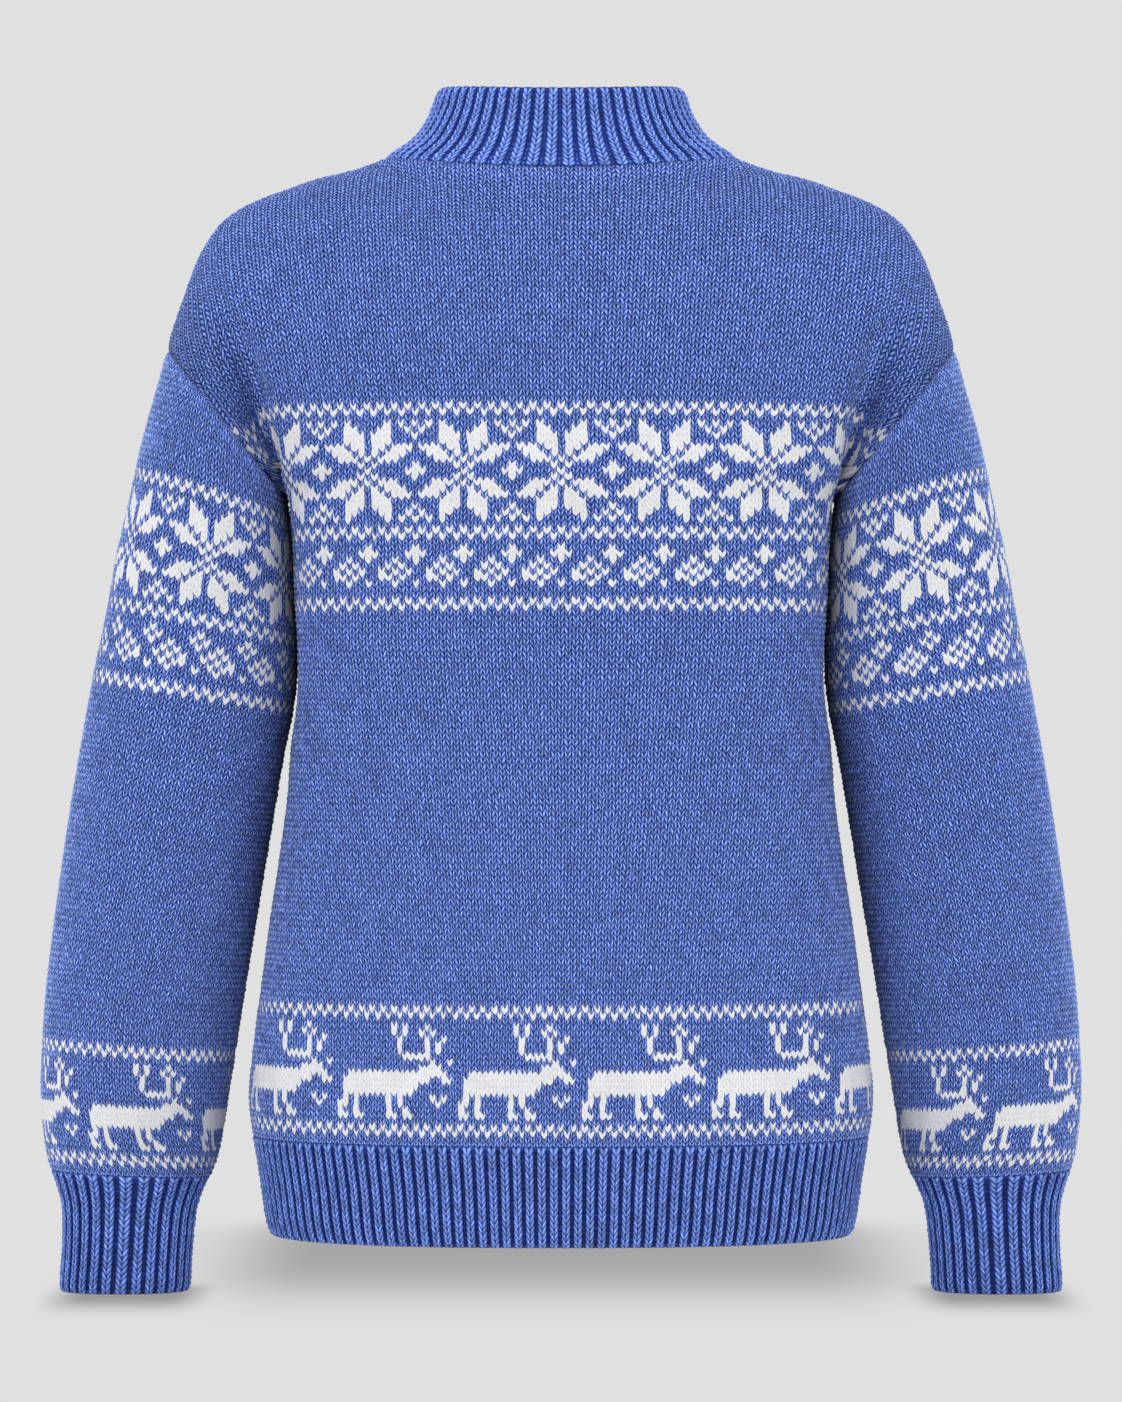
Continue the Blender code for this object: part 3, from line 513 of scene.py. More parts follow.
def panel_surface(side):
    """Fine grid of a panel's even outer face, its normals, the heights of its rows, and the
    painted shade of its cloth: darker in the fold and beside the sleeve."""
    across = np.linspace(-1, 1, FINE)
    height = np.concatenate([
        np.linspace(HEM_TOP, SIDE_TOP, PANEL_ROWS[0]),
        SIDE_TOP + np.linspace(1, 5 * ROW_RISE, PANEL_ROWS[1]),
    ])
    grid = place_on(side, across, height)
    # The seams' own curves are met exactly, and the cloth beside them gives way softly.
    upper = height > SIDE_TOP
    turn = curve(ROW_AT, ARMHOLE_TURN, (height[upper] - SIDE_TOP) / ROW_RISE)
    edge = armhole_point(turn) * FACING[side]
    fall = np.exp(-((1 - np.abs(across)) / 0.05) ** 2)
    for sign, column in ((1, -1), (-1, 0)):
        miss = edge * (sign, 1, 1) - grid[upper, column]
        near = np.where(across * sign > 0, fall, 0)
        grid[upper] += miss[:, None] * near[None, :, None]
    top = top_edge(across, side == "front") * FACING[side]
    fall = np.exp(-((height[-1] - height) / 14) ** 2)
    grid += (top - grid[-1])[None] * fall[:, None, None]
    normal = grid_normals(grid, 0.0)
    deep = fold(across, height)
    grid = crease(side, grid, normal) - normal * deep[..., None]
    # Painted shade: the cloth is darkened in the fold and beside the sleeve.
    beside = soft((np.abs(across) - 0.80) / 0.2)[None] * soft((height + 400) / 130)[:, None]
    return grid, normal, height, (1 - FOLD_DARK * deep) * (1.02 - 0.22 * beside)


def panel_rows(grid):
    """Row numbers over a panel: level up to the chest band, then along the cloth. The rows
    behind the fold hang lower."""
    step = np.linalg.norm(np.diff(grid, axis=0), axis=2)
    length = running(step, axis=0)
    rise = np.maximum.accumulate(grid[..., 2], axis=0)
    place = np.abs(np.linspace(-1, 1, grid.shape[1]))
    behind = soft((place - 0.87) / 0.06)[None] * soft((rise + 214) / 34)
    rise = np.maximum.accumulate(rise + BEHIND_DROP * behind, axis=0)
    turned = [np.interp(LEVEL_TO, z, at) for z, at in zip(rise.T, length.T)]
    level = np.minimum(rise, LEVEL_TO) - HEM_TOP
    return (level + np.maximum(length - np.array(turned)[None], 0)) / ROW


def fold(across, height):
    """Depth of the armhole's fold: the chest's edge stays out, and the cloth between it
    and the armhole seam drops in behind it and comes back to the seam. Across, it is a
    steep bell before the fold and a slow fall after it, nought at the seam."""
    at = (np.abs(across) - FOLD_PLACE) * FOLD_HALF
    shape = np.where(at > 0, np.exp(-at / 11), np.exp(-(at / 2.2) ** 2))
    shape = shape * (1 - np.exp(-(((1 - np.abs(across)) * FOLD_HALF) / 5) ** 2))
    return np.interp(height, FOLD_AT, FOLD_DEEP)[:, None] * shape[None]


def rings(table, level, turns):
    """Rings of a sleeve or cuff at the given levels of its table, by angle from the outer
    edge (0) over the back (90): the table read there, how far out each place of a ring
    lies (-1 to 1), and the points of an oval squared by SLEEVE_SQUARE."""
    rows = curve(np.arange(len(table)), table, level)
    a = np.radians(turns)
    power = 2 / SLEEVE_SQUARE
    swing, sway = (np.sign(wave) * np.abs(wave) ** power for wave in (np.cos(a), np.sin(a)))
    z_out, x_out, z_in, x_in, deep, middle_y = (rows[:, i, None] for i in range(6))
    points = np.stack([
        (x_out + x_in) / 2 + swing * (x_out - x_in) / 2,
        middle_y - sway * deep,
        (z_out + z_in) / 2 + swing * (z_out - z_in) / 2,
    ], axis=-1)
    return rows, swing, points


def sleeve_surface():
    """Fine rings of the right sleeve's even outer face from cuff to armhole, by angle from
    the underarm (180) over the back (90) and the outer edge (0) to it again (-180), with
    their normals and row numbers."""
    level = np.linspace(0, len(SLEEVE) - 1, SLEEVE_RINGS)
    turns = np.linspace(180, -180, FINE)
    rows, swing, grid = rings(SLEEVE, level, turns)
    # The first ring is the armhole seam itself, and the cloth under it gives way softly.
    seam = armhole_point(np.abs(turns)) * turned_over(turns > 0, 1)
    fall = np.exp(-(level / 1.2) ** 2)
    grid += (seam - grid[0])[None] * fall[:, None, None]
    # Row numbers at the outer and inner edge, going on above the last one given.
    outer_row, inner_row = (
        np.interp(-rows[:, at], -SLEEVE_ROWS[::-1, column], SLEEVE_ROWS[::-1, 0])
        + np.maximum(rows[:, at] - SLEEVE_ROWS[-1, column], 0) / pitch
        for at, column, pitch in ((0, 1, 3.6), (2, 2, 3.4))
    )
    share = (1 + swing) / 2
    row_at = share[None] * outer_row[:, None] + (1 - share[None]) * inner_row[:, None]
    normal = grid_normals(wrapped_round(grid))[:, 1:-1]
    return grid[::-1], normal[::-1], row_at[::-1]


def sleeve_shade(grid):
    """Painted light and shade on a sleeve's cloth: a painted highlight along its outer edge,
    painted shade towards the body, deepest just under the arm, by smooth steps round it and
    up it."""
    inner = np.abs(np.linspace(-1, 1, grid.shape[1]))[None]
    under = soft((inner - 0.62) / 0.3) * soft((grid[..., 2] + 470) / 220)
    edge = soft((inner - 0.62) / 0.38)
    beside = soft((inner - 0.70) / 0.26) * soft((grid[..., 2] + 560) / 160)
    return 1.10 - 0.16 * soft((inner - 0.1) / 0.6) - 0.22 * edge - 0.12 * under - 0.36 * beside


# ---------------------------------------------------------------- the knitted lattice


def chart(text):
    """Rows of a chart as whites, its lowest row first."""
    rows = [[mark == "x" for mark in line] for line in text.split()]
    return np.array(rows)[::-1]


def repeat_star():
    """One whole repeat of the star, 17 rows by 14 stitches, from its quarter chart."""
    quarter = chart(STAR)
    half = np.vstack([quarter[:0:-1], quarter])
    return np.hstack([half, half[:, 6:0:-1]])


def band_table(chest_from, small, stars_turn, deer_turn):
    """Table of rows by stitches, true where a stitch is white: each chart is laid from its
    lowest row up and repeated across, turned by its own stitch. The chest band is the
    small chart and then the stars, and the reindeer stand below it, all between borders."""
    stars, plain = (1, -stars_turn), (1, 0)
    laid = (
        (chest_from, chart(BORDER), plain), (chest_from + 4, chart(small), stars),
        (chest_from + 12, chart(BORDER), plain), (chest_from + 15, repeat_star(), stars),
        (chest_from + 33, chart(BORDER), plain), (DEER_FROM, chart(BORDER), plain),
        (DEER_FROM + 3, chart(REINDEER), deer_turn), (DEER_FROM + 20, chart(BORDER), plain),
    )
    table = np.zeros((MOST_ROWS, len(STITCHES)), bool)
    for first, rows, (way, turn) in laid:
        table[first:first + len(rows)] = rows[:, (STITCHES * way + turn) % rows.shape[1]]
    return table


def lattice(points, normals, row_at, widths, measure, shade, lean):
    """Stitch lines laid on a fine grid whose rows run bottom to top.

    A stitch has three lines, its sides and its middle, and the middle hangs DIP rows
    lower. Line c lies c half stitches from the middle of its grid row, measured as given
    and stretched by lean to the right, so outer lines end where they meet the edge. Rows
    are placed along each line by their row numbers and end where they meet the top."""
    length = run_lengths(points)
    half = measure[:, -1] / 2
    most = 2 * (int((half / widths).max() * LINES_SPARE) + 1) + 1
    lines = np.arange(-most, most + 1)
    stretch = 1 + lean * np.sign(lines)
    wanted = half[:, None] + (lines * stretch)[None] * widths[:, None] / 2
    wanted = np.clip(wanted, 0, measure[:, -1:])
    to_side = np.minimum(length, length[:, -1:] - length)
    packed = np.concatenate([points, normals, np.dstack([row_at, to_side, shade])], axis=2)
    columns = spread(packed, measure, wanted).transpose(1, 0, 2)
    rise = np.maximum.accumulate(columns[..., 6], axis=1)
    tops = rise[:, -1]
    dip = np.where(lines % 2 == 0, DIP, 0.0)
    last = np.ceil(tops + dip - TOP_SPARE).astype(int)
    count = last.max() + 1
    rows = np.arange(count)[None] - dip[:, None]
    rows = np.where(np.arange(count)[None] >= last[:, None], tops[:, None], rows)
    rows = np.clip(rows, 0, tops[:, None])
    placed = spread(columns, rise, rows)
    # The outermost line of each row on both sides: the first odd one near the edge.
    edges = []
    for column, way in ((0, 1 - lean), (-1, 1 + lean)):
        edge_half = np.interp(np.arange(count), row_at[:, column], half)
        edge_width = np.interp(np.arange(count), row_at[:, column], widths)
        stitches = edge_half / edge_width / way
        edges.append((2 * np.floor(stitches - EDGE_SPARE) + 1).astype(int))
    return lines, rows, last, edges, placed, tops


def seam_groove(distance):
    """How far the cloth is drawn in at a distance from a seam: it falls off evenly by a
    share for each mm."""
    return TUCK[0] * np.exp(-np.maximum(distance, 0) / TUCK[1])


# Where a leg's corners lie: across its long way (-1 to 1), along it (0 to 1), and 1 for a
# leg. The long way runs from the middle line's low corner to the side line's high one.
LEG_CORNERS = np.array([[0, 0, 1], [1, 0.5, 1], [0, 1, 1], [-1, 0.5, 1]], float)


def cells(grid, across_first):
    """The four corners of every cell of a grid, going round it."""
    one, three = grid[1:, :-1], grid[:-1, 1:]
    one, three = (three, one) if across_first else (one, three)
    return np.stack([grid[:-1, :-1], one, grid[1:, 1:], three], axis=2)


def grid_places(rows, columns):
    """Places across and up, from 0 to 1, of the points of a grid of rows by columns."""
    up, across = np.meshgrid(np.linspace(0, 1, rows), np.linspace(0, 1, columns), indexing="ij")
    return np.stack([across, up], axis=-1)


def numbered(grid, first, closed):
    """Points of an inside face in one list, and their numbers from first on in its grid. A
    closed ring's last column is its first one again."""
    points = grid[:, :-1] if closed else grid
    index = first + np.arange(points[..., 0].size).reshape(points.shape[:2])
    return points.reshape(-1, 3), np.hstack([index, index[:, :1]]) if closed else index


def leg_triangles(quads, centres, rising, mapped):
    """Four triangles from each leg's corners to its raised middle, with no thin ones, and
    for each corner its place in the leg and on the map. Legs that rise to the left are
    mirrored."""
    spots = np.where(rising[:, None, None], LEG_CORNERS[None], LEG_CORNERS[None, [1, 0, 3, 2]])
    spots = np.concatenate([spots, mapped], axis=2)
    middle = np.broadcast_to([0, 0.5, 1.0], (len(quads), 3))
    middle = np.hstack([middle, mapped.mean(axis=1)])
    triangles, owner, places = [], [], []
    for k in range(4):
        a, b = quads[:, k], quads[:, (k + 1) % 4]
        real = a != b
        triangles.append(np.stack([a, b, centres], axis=1)[real])
        places.append(np.stack([spots[:, k], spots[:, (k + 1) % 4], middle], axis=1)[real])
        owner.append(np.arange(len(quads))[real])
    return np.vstack(triangles), np.concatenate(owner), np.concatenate(places)


def knit_piece(name, points, normals, row_at, widths, measure, shade, lean, bands, closed,
               flip, materials, seed):
    """A knitted piece: the lattice of stitches with each leg raised, and a plain inside.

    Each leg of a stitch is a slanted four-sided cell whose middle is raised; its corners
    are sunk, and creased edges round it keep it a plump strand. The inside is the grid
    itself, one wall in. Both are joined along the rims."""
    lines, rows, last, edges, placed, tops = lattice(
        points, normals, row_at, widths, measure, shade, lean
    )
    most = lines[-1]
    count = rows.shape[1]
    left, right = edges
    base, out = placed[..., :3], unit(placed[..., 3:6])
    # Each lattice point is stood for by one vertex: past the edge or the top, by the last.
    row = np.minimum(np.arange(count)[None], last[:, None])
    column = np.clip(lines[:, None], -left[row], right[row])
    row = np.minimum(row, last[column + most])
    on_map = np.stack([(column + most) / (2 * most), row / (count - 1)], axis=-1)
    if closed:
        column = np.where(column == -left[row], right[row], column)
    key = (column + most) * count + row
    wanted, index = np.unique(key, return_inverse=True)
    index = index.reshape(key.shape)
    c, r = wanted // count, wanted % count
    # Lines past the grid's edge hold the edge's own points, so the outermost is exact.
    at_right, at_left = lines[c] >= right[r], lines[c] <= -left[r]
    source = np.where(at_right, len(lines) - 1, np.where(at_left, 0, c))
    corner, corner_out = base[source, r], out[source, r]
    to_top = (tops[source] - rows[source, r]) * ROW
    to_side = placed[source, r, 7]
    groove = seam_groove(to_top)
    if not closed:
        tight = np.interp(corner[:, 2], SIDE_TUCK_AT, SIDE_TUCK)
        groove = np.maximum(groove, seam_groove(to_side) * tight)
    hooked = 1 + HOOKED[0] * np.exp(-(((to_top - HOOKED[1]) / HOOKED[2]) ** 2))
    random = np.random.default_rng(seed)
    # Painted light and shade of each corner: the cloth's painted shade, a lighter row below a
    # top seam, and painted shade in a seam's groove.
    shaded = placed[source, r, 8] * hooked * (1 - GROOVE_DARK * groove / TUCK[0])
    stray = random.normal(0, JITTER, corner.shape)
    stray -= corner_out * (stray * corner_out).sum(-1, keepdims=True)
    free = (to_top > 1) & ~at_right & ~at_left & (rows[source, r] > 0.3)
    joined = rows[source, r] < JOINED
    hug = np.exp(-to_side / HUG[1]) * soft((-200 - corner[:, 2]) / 20) * (rows[source, r] > 1)
    sunk = np.where(joined, 0.1, LEG_SUNK) + groove - HUG[0] * hug
    surface = corner - corner_out * sunk[:, None] + stray * free[:, None]

    quads, mapped = cells(index, False), cells(on_map, False)
    line_of, row_of = np.meshgrid(lines[:-1], np.arange(count - 1), indexing="ij")
    # Cells squeezed to a line or a point at the edges are dropped.
    keep = (np.diff(np.sort(quads, axis=-1), axis=-1) != 0).sum(-1) >= 2
    quads, mapped, line_of, row_of = quads[keep], mapped[keep], line_of[keep], row_of[keep]
    white = bands[row_of, (line_of + 1) // 2 + bands.shape[1] // 2]
    tone = random.normal(0, 1, len(quads))
    spare = random.uniform(-1, 1, (len(quads), 2))
    centre = surface[quads].mean(axis=1)
    centre_out = unit(corner_out[quads].mean(axis=1))
    size = np.linalg.norm(surface[quads[:, 0]] - surface[quads[:, 3]], axis=1)
    size += np.linalg.norm(surface[quads[:, 1]] - surface[quads[:, 2]], axis=1)
    share = np.clip(size / (2 * ROW), 0.1, 1)
    rise = LEG_RISE * share * (1 + LEG_VARIES * tone.clip(-2, 2))
    rise *= np.where(white, WHITE_RISE, 1)
    over = surface[quads[:, 1]] - surface[quads[:, 0]]
    up = surface[quads[:, 3]] - surface[quads[:, 0]]
    centre = centre + centre_out * rise[:, None]
    spare *= CREST_STRAYS
    centre = centre + over * spare[:, :1] + up * spare[:, 1:]

    outer_count = len(surface)
    centres = outer_count + np.arange(len(quads))
    triangles, owner, legs = leg_triangles(quads, centres, line_of % 2 == 0, mapped)

    # The plain inside, on a coarser share of the fine grid.
    up, over = (
        np.unique(np.round(np.linspace(0, size - 1, most_of)).astype(int))
        for size, most_of in zip(points.shape, INSIDE_GRID)
    )
    start = outer_count + len(quads)
    inner, wrapped = numbered((points - normals * WALL)[np.ix_(up, over)], start, closed)
    every = np.vstack([surface, centre, inner])

    # Rims between the two faces: bottom and top, and the sides of an open piece.
    bottom_lines = np.arange(-left[0], right[0] + 1) + most
    top_lines = np.arange(-left[-1], right[-1] + 1) + most
    rims = [
        (index[bottom_lines, 0], wrapped[0], False),
        (index[top_lines, last[top_lines]], wrapped[-1], True),
    ]
    sides = [] if closed else [(-left, 0), (right, -1)]
    for edge_line, inner_column in sides:
        run = index[edge_line + most, np.arange(count)]
        run = run[np.concatenate([[True], np.diff(run) != 0])]
        rims.append((run, wrapped[:, inner_column], inner_column == 0))
    # raised places each vertex between the painted shade of a hollow (0) and the painted
    # highlight of a crest (1), and shades holds its painted light and shade.
    raised = np.full(len(every), 0.5)
    raised[:outer_count] = np.where(joined, 0.45, 0.0)
    raised[outer_count:start] = 1
    shades = np.ones(len(every))
    shades[:outer_count] = shaded
    shades[outer_count:start] = shaded[quads].mean(axis=1)
    return write_piece(
        name, every, triangles, legs, rims, wrapped, tone[owner], white[owner], raised,
        shades, (outer_count, start), flip, materials,
    )


def zip_rim(one, two, points):
    """Triangles between two runs of points, paired by their share of each run's length,
    and the share and the run of each corner."""
    def shares(run):
        total = running(np.linalg.norm(np.diff(points[run], axis=0), axis=1))
        return total / max(total[-1], 1e-9)

    one_at, two_at = shares(one), shares(two)
    faces, spots, i, j = [], [], 0, 0
    while i < len(one) - 1 or j < len(two) - 1:
        ahead_one = one_at[i + 1] if i < len(one) - 1 else np.inf
        ahead_two = two_at[j + 1] if j < len(two) - 1 else np.inf
        if ahead_one <= ahead_two:
            faces.append((one[i], one[i + 1], two[j]))
            spots.append(((one_at[i], 0), (one_at[i + 1], 0), (two_at[j], 1)))
            i += 1
        else:
            faces.append((one[i], two[j + 1], two[j]))
            spots.append(((one_at[i], 0), (two_at[j + 1], 1), (two_at[j], 1)))
            j += 1
    faces = np.array(faces)
    different = (np.diff(np.sort(faces, axis=1), axis=1) != 0).all(axis=1)
    return faces[different], np.array(spots, float)[different]


# Where the outside, the inside and the rims lie on the map: their size, then their corner.
MAP_OUTSIDE = np.array([(0.84, 0.94), (0.005, 0.05)])
MAP_INSIDE = np.array([(0.13, 0.94), (0.86, 0.05)])
MAP_RIM = np.array([(0.98, 0.007), (0.01, 0.004)])
MAP_RIM_STEP = 0.011


def add_object(name, data):
    """A new object with the data, linked to the scene at the origin."""
    made = bpy.data.objects.new(name, data)
    bpy.context.scene.collection.objects.link(made)
    return made


def write_piece(name, every, outer, outer_spots, rims, inner, tones, kinds, raised, shade,
                kept, flip, materials):
    """Joins the outer triangles, the inside and the rims into one closed piece.

    tones and kinds are each outer triangle's own tone and material; raised and shade are
    each vertex's place between the painted shade of a hollow and the painted highlight of a
    crest, and its painted light and shade. kept is the vertex counts of the lattice and of
    everything outside; edges of the lattice and round the rims are creased, so each leg is
    shaded as one plump strand. On the map, the outside lies to the left, the inside to the
    right and the rims below."""
    inner_quads = cells(inner, False).reshape(-1, 4)
    inner_mapped = cells(grid_places(*inner.shape), False).reshape(-1, 4, 2)
    faces = [outer, inner_quads[:, [0, 1, 2]], inner_quads[:, [0, 2, 3]]]
    maps = [outer_spots[..., 3:], inner_mapped[:, [0, 1, 2]], inner_mapped[:, [0, 2, 3]]]
    maps[0] = maps[0] * MAP_OUTSIDE[0] + MAP_OUTSIDE[1]
    maps[1:] = [spots * MAP_INSIDE[0] + MAP_INSIDE[1] for spots in maps[1:]]
    for k, (outer_run, inner_run, up) in enumerate(rims):
        strip, spots = zip_rim(list(outer_run), list(inner_run), every)
        faces.append(strip if up else strip[:, ::-1])
        spots = spots * MAP_RIM[0] + MAP_RIM[1] + (0, MAP_RIM_STEP * k)
        maps.append(spots if up else spots[:, ::-1])
    faces, maps = np.vstack(faces), np.concatenate(maps)
    places = np.zeros((len(faces), 3, 3))
    places[: len(outer)] = outer_spots[..., :3]
    corners = every[faces]
    volume = np.einsum("ij,ij->i", corners[:, 0], np.cross(corners[:, 1], corners[:, 2])).sum()
    every = every * (-1, 1, 1) if flip else every
    if (volume < 0) != flip:
        faces, places, maps = faces[:, ::-1], places[:, ::-1], maps[:, ::-1]
    mesh = bpy.data.meshes.new(name)
    mesh.vertices.add(len(every))
    mesh.vertices.foreach_set("co", (every * MM).ravel())
    mesh.loops.add(faces.size)
    mesh.loops.foreach_set("vertex_index", faces.ravel().astype(np.int32))
    mesh.polygons.add(len(faces))
    mesh.polygons.foreach_set("loop_start", np.arange(0, faces.size, 3, dtype=np.int32))
    mesh.polygons.foreach_set("loop_total", np.full(len(faces), 3, dtype=np.int32))
    for material in materials:
        mesh.materials.append(material)
    filled = np.full(len(faces), len(materials) - 1, dtype=np.int32)
    filled[: len(kinds)] = kinds
    mesh.polygons.foreach_set("material_index", filled)
    mesh.update(calc_edges=True)
    all_tones = np.zeros(len(faces))
    all_tones[: len(tones)] = tones.clip(-TONE_MOST, TONE_MOST)
    layers = (
        ("raise", "FLOAT", "POINT", raised), ("shade", "FLOAT", "POINT", shade),
        ("tone", "FLOAT", "FACE", all_tones), ("leg", "FLOAT_VECTOR", "CORNER", places),
    )
    for label, form, domain, values in layers:
        layer = mesh.attributes.new(label, form, domain)
        layer.data.foreach_set("vector" if form == "FLOAT_VECTOR" else "value", values.ravel())
    mesh.uv_layers.new(name="OFBake").data.foreach_set("uv", maps.ravel())
    pairs = np.zeros(len(mesh.edges) * 2, dtype=np.int32)
    mesh.edges.foreach_get("vertices", pairs)
    pairs = pairs.reshape(-1, 2)
    inside_edge = pairs >= kept[1]
    sharp = (pairs < kept[0]).all(axis=1) | (inside_edge.any(axis=1) & ~inside_edge.all(axis=1))
    layer = mesh.attributes.new("sharp_edge", "BOOLEAN", "EDGE")
    layer.data.foreach_set("value", sharp)
    mesh.polygons.foreach_set("use_smooth", np.ones(len(faces), dtype=bool))
    mesh.validate()
    return add_object(name, mesh)


# ---------------------------------------------------------------- the ribbing

# Lines across one rib, by share of its pitch: place, drop below the crest in mm, dip in
# rows, how lit it is (1 on a crest, 0 in a hollow, -1 in a valley), and 1 in the valley.
RIB_LINES = np.array([
    [0.01, 2.1, 0.0, -1.0, 1],
    [0.08, 0.6, 0.0, -0.05, 0],
    [0.42, 0.55, DIP, 0.05, 0],
    [0.76, 0.6, 0.0, -0.05, 0],
    [0.83, 2.1, 0.0, -1.0, 1],
])
RIB_CREST = 0.6        # drop of a crest's sides below the even face, mm
CREST_RISE = 0.85      # a crest's strand and a valley's bar above their corners, mm
BAR_RISE = 0.5
RIB_VARIES = 0.12      # share of that rise for each of a stitch's own tone
RIB_STRAYS = 0.12      # how far a strand's crest strays, mm
LIT_VARIES = 0.1
BEGUN = (0.6, 2.6)     # rows from the seam over which a valley deepens, least and most
ROLL = (1.5, 1.6)      # how far an open end rolls in and how far that reaches, mm

# What differs by the end that is open: rows by which a seam's valleys are begun, how far the
# seam dips in mm, how deep the painted shade in the valleys is, and how lit their bars are by
# rows from the seam.
END_CUT = 0.55         # rows by which a valley stops short of the open end
FADE = {"bottom": 0.0, "top": 1.6}
SEAM_DIP = {"bottom": 0.0, "top": 1.5}
VALLEY_DARK = {"bottom": 1.0, "top": 0.3}
BAR_AT = (0.5, 5, 12)
BAR_LIT = {"bottom": (0.1, -0.45, -0.5), "top": (0.7, 0.1, -0.35)}


def rib_piece(name, ribs, surface, total, closed, flip, materials, seed, open_end, painted_light):
    """Ribbing: on each rib one column of stitches stands up, with a valley beside it.

    surface(places, rises) gives the crest's even face and its inward directions for
    places from 0 to 1 across the piece and heights in rows, up to total, from its foot."""
    shares = (np.arange(ribs)[:, None] + RIB_LINES[None, :, 0]).reshape(-1) / ribs
    drops, dips, lit, valley = (np.tile(RIB_LINES[:, k], ribs) for k in range(1, 5))
    if not closed:
        shares = np.concatenate([[0.0], shares, [1.0]])
        drops, dips, lit, valley = (
            np.concatenate([[end], line, [end]])
            for line, end in ((drops, 1.9), (dips, 0.0), (lit, -1.0), (valley, 1.0))
        )
    count = int(round(total))
    random = np.random.default_rng(seed)
    # A valley stops a little short of the open end, so the crests stand out there.
    short = END_CUT * valley
    first, final = (short, 0 * short) if open_end == "bottom" else (0 * short, short)
    rows = np.arange(count + 1)[:, None] * total / count - dips[None]
    rows = np.clip(rows, first[None], total - final[None])
    rows[-1] = total - final
    point, into = surface(shares, rows)
    to_seam = rows if open_end == "top" else total - rows
    to_end = total - rows if open_end == "top" else rows
    # Valleys fade out unevenly towards the seam, and the open end rolls in a little.
    begun = np.repeat(random.uniform(*BEGUN, ribs + 1), len(RIB_LINES))
    begun = begun[1:1 + ribs * len(RIB_LINES)]
    begun = begun if closed else np.concatenate([begun[:1], begun, begun[-1:]])
    fade = np.clip((to_seam + FADE[open_end]) / (begun[None] + FADE[open_end]), 0, 1)
    fade = np.where(valley[None] > 0, fade, 1)
    roll = ROLL[0] * np.exp(-to_end * ROW / ROLL[1])
    seam = SEAM_DIP[open_end] * np.exp(-to_seam * ROW / 2)
    drop = RIB_CREST + (drops[None] - RIB_CREST) * fade
    outer = point + into * (drop + roll + seam)[..., None]
    lit = np.where(valley[None] > 0, lit[None] * fade * VALLEY_DARK[open_end], lit[None])
    lit = lit + random.normal(0, LIT_VARIES, lit.shape)
    if open_end == "bottom":
        lit = np.where(to_seam < JOINED, 0.4, lit)
    columns = outer.shape[1]
    index = np.arange(outer.shape[0] * columns).reshape(-1, columns)
    if closed:
        index = np.hstack([index, index[:, :1]])
    quads, mapped = cells(index, True), cells(grid_places(*index.shape), True)
    flat = outer.reshape(-1, 3)
    flat_in = into.reshape(-1, 3)
    step = np.arange(quads.shape[1]) - (0 if closed else 1)
    step = np.where(step < 0, 3, step) % 5
    if not closed:
        step[-1] = 3
    # Between its lines, cells 1 and 2 are a crest's legs, 4 a valley's bar, 0 and 3 plain.
    kind = np.broadcast_to(step, quads.shape[:2])
    is_bump = (kind == 1) | (kind == 2) | (kind == 4)
    bumps, sides = quads[is_bump], quads[~is_bump]
    bar, rising = (kind == 4)[is_bump], (kind == 2)[is_bump]
    tone = random.normal(0, 1, len(bumps))
    centre = flat[bumps].mean(axis=1) + random.normal(0, RIB_STRAYS, (len(bumps), 3))
    size = np.linalg.norm(flat[bumps[:, 0]] - flat[bumps[:, 3]], axis=1)
    rise = np.where(bar, BAR_RISE, CREST_RISE) * np.clip(size / ROW, 0.2, 1)
    rise = rise * (1 + RIB_VARIES * tone.clip(-2, 2))
    centre = centre - unit(flat_in[bumps].mean(axis=1)) * rise[:, None]
    centres = len(flat) + np.arange(len(bumps))
    triangles, owner, legs = leg_triangles(bumps, centres, rising, mapped[is_bump])
    legs[..., :3] *= np.where(bar[owner], 0, 1)[:, None, None]
    side_mapped = np.concatenate([np.zeros((len(sides), 4, 3)), mapped[~is_bump]], axis=2)
    halves = ([0, 1, 2], [0, 2, 3])
    triangles = np.vstack([triangles] + [sides[:, half] for half in halves])
    legs = np.concatenate([legs] + [side_mapped[:, half] for half in halves])
    # The plain inside, one place a rib.
    inner_rows = np.repeat(np.linspace(0, total, 9)[:, None], ribs + 1, axis=1)
    inner_point, inner_into = surface(np.linspace(0, 1, ribs + 1), inner_rows)
    start = len(flat) + len(bumps)
    inner, wrapped = numbered(inner_point + inner_into * RIB_WALL, start, closed)
    every = np.vstack([flat, centre, inner])
    rims = [(index[0], wrapped[0], False), (index[-1], wrapped[-1], True)]
    if not closed:
        rims += [(index[:, 0], wrapped[:, 0], True), (index[:, -1], wrapped[:, -1], False)]
    bar_lit = np.interp(to_seam.mean(axis=1), BAR_AT, BAR_LIT[open_end])
    bar_row = np.broadcast_to(np.arange(quads.shape[0])[:, None], quads.shape[:2])
    bump_lit = np.where(bar, bar_lit[bar_row[is_bump]], 1.0)
    # Each vertex's place between painted shade in a valley or hollow and a painted highlight on
    # a crest or bar; its lightness is the painted light given.
    raised = np.concatenate([lit.ravel(), bump_lit, np.full(len(inner), 0.3)])
    return write_piece(
        name, every, triangles, legs, rims, wrapped, tone[owner],
        np.zeros(len(triangles), dtype=np.int32), raised, np.full(len(every), painted_light),
        (len(flat), start), flip, materials,
    )


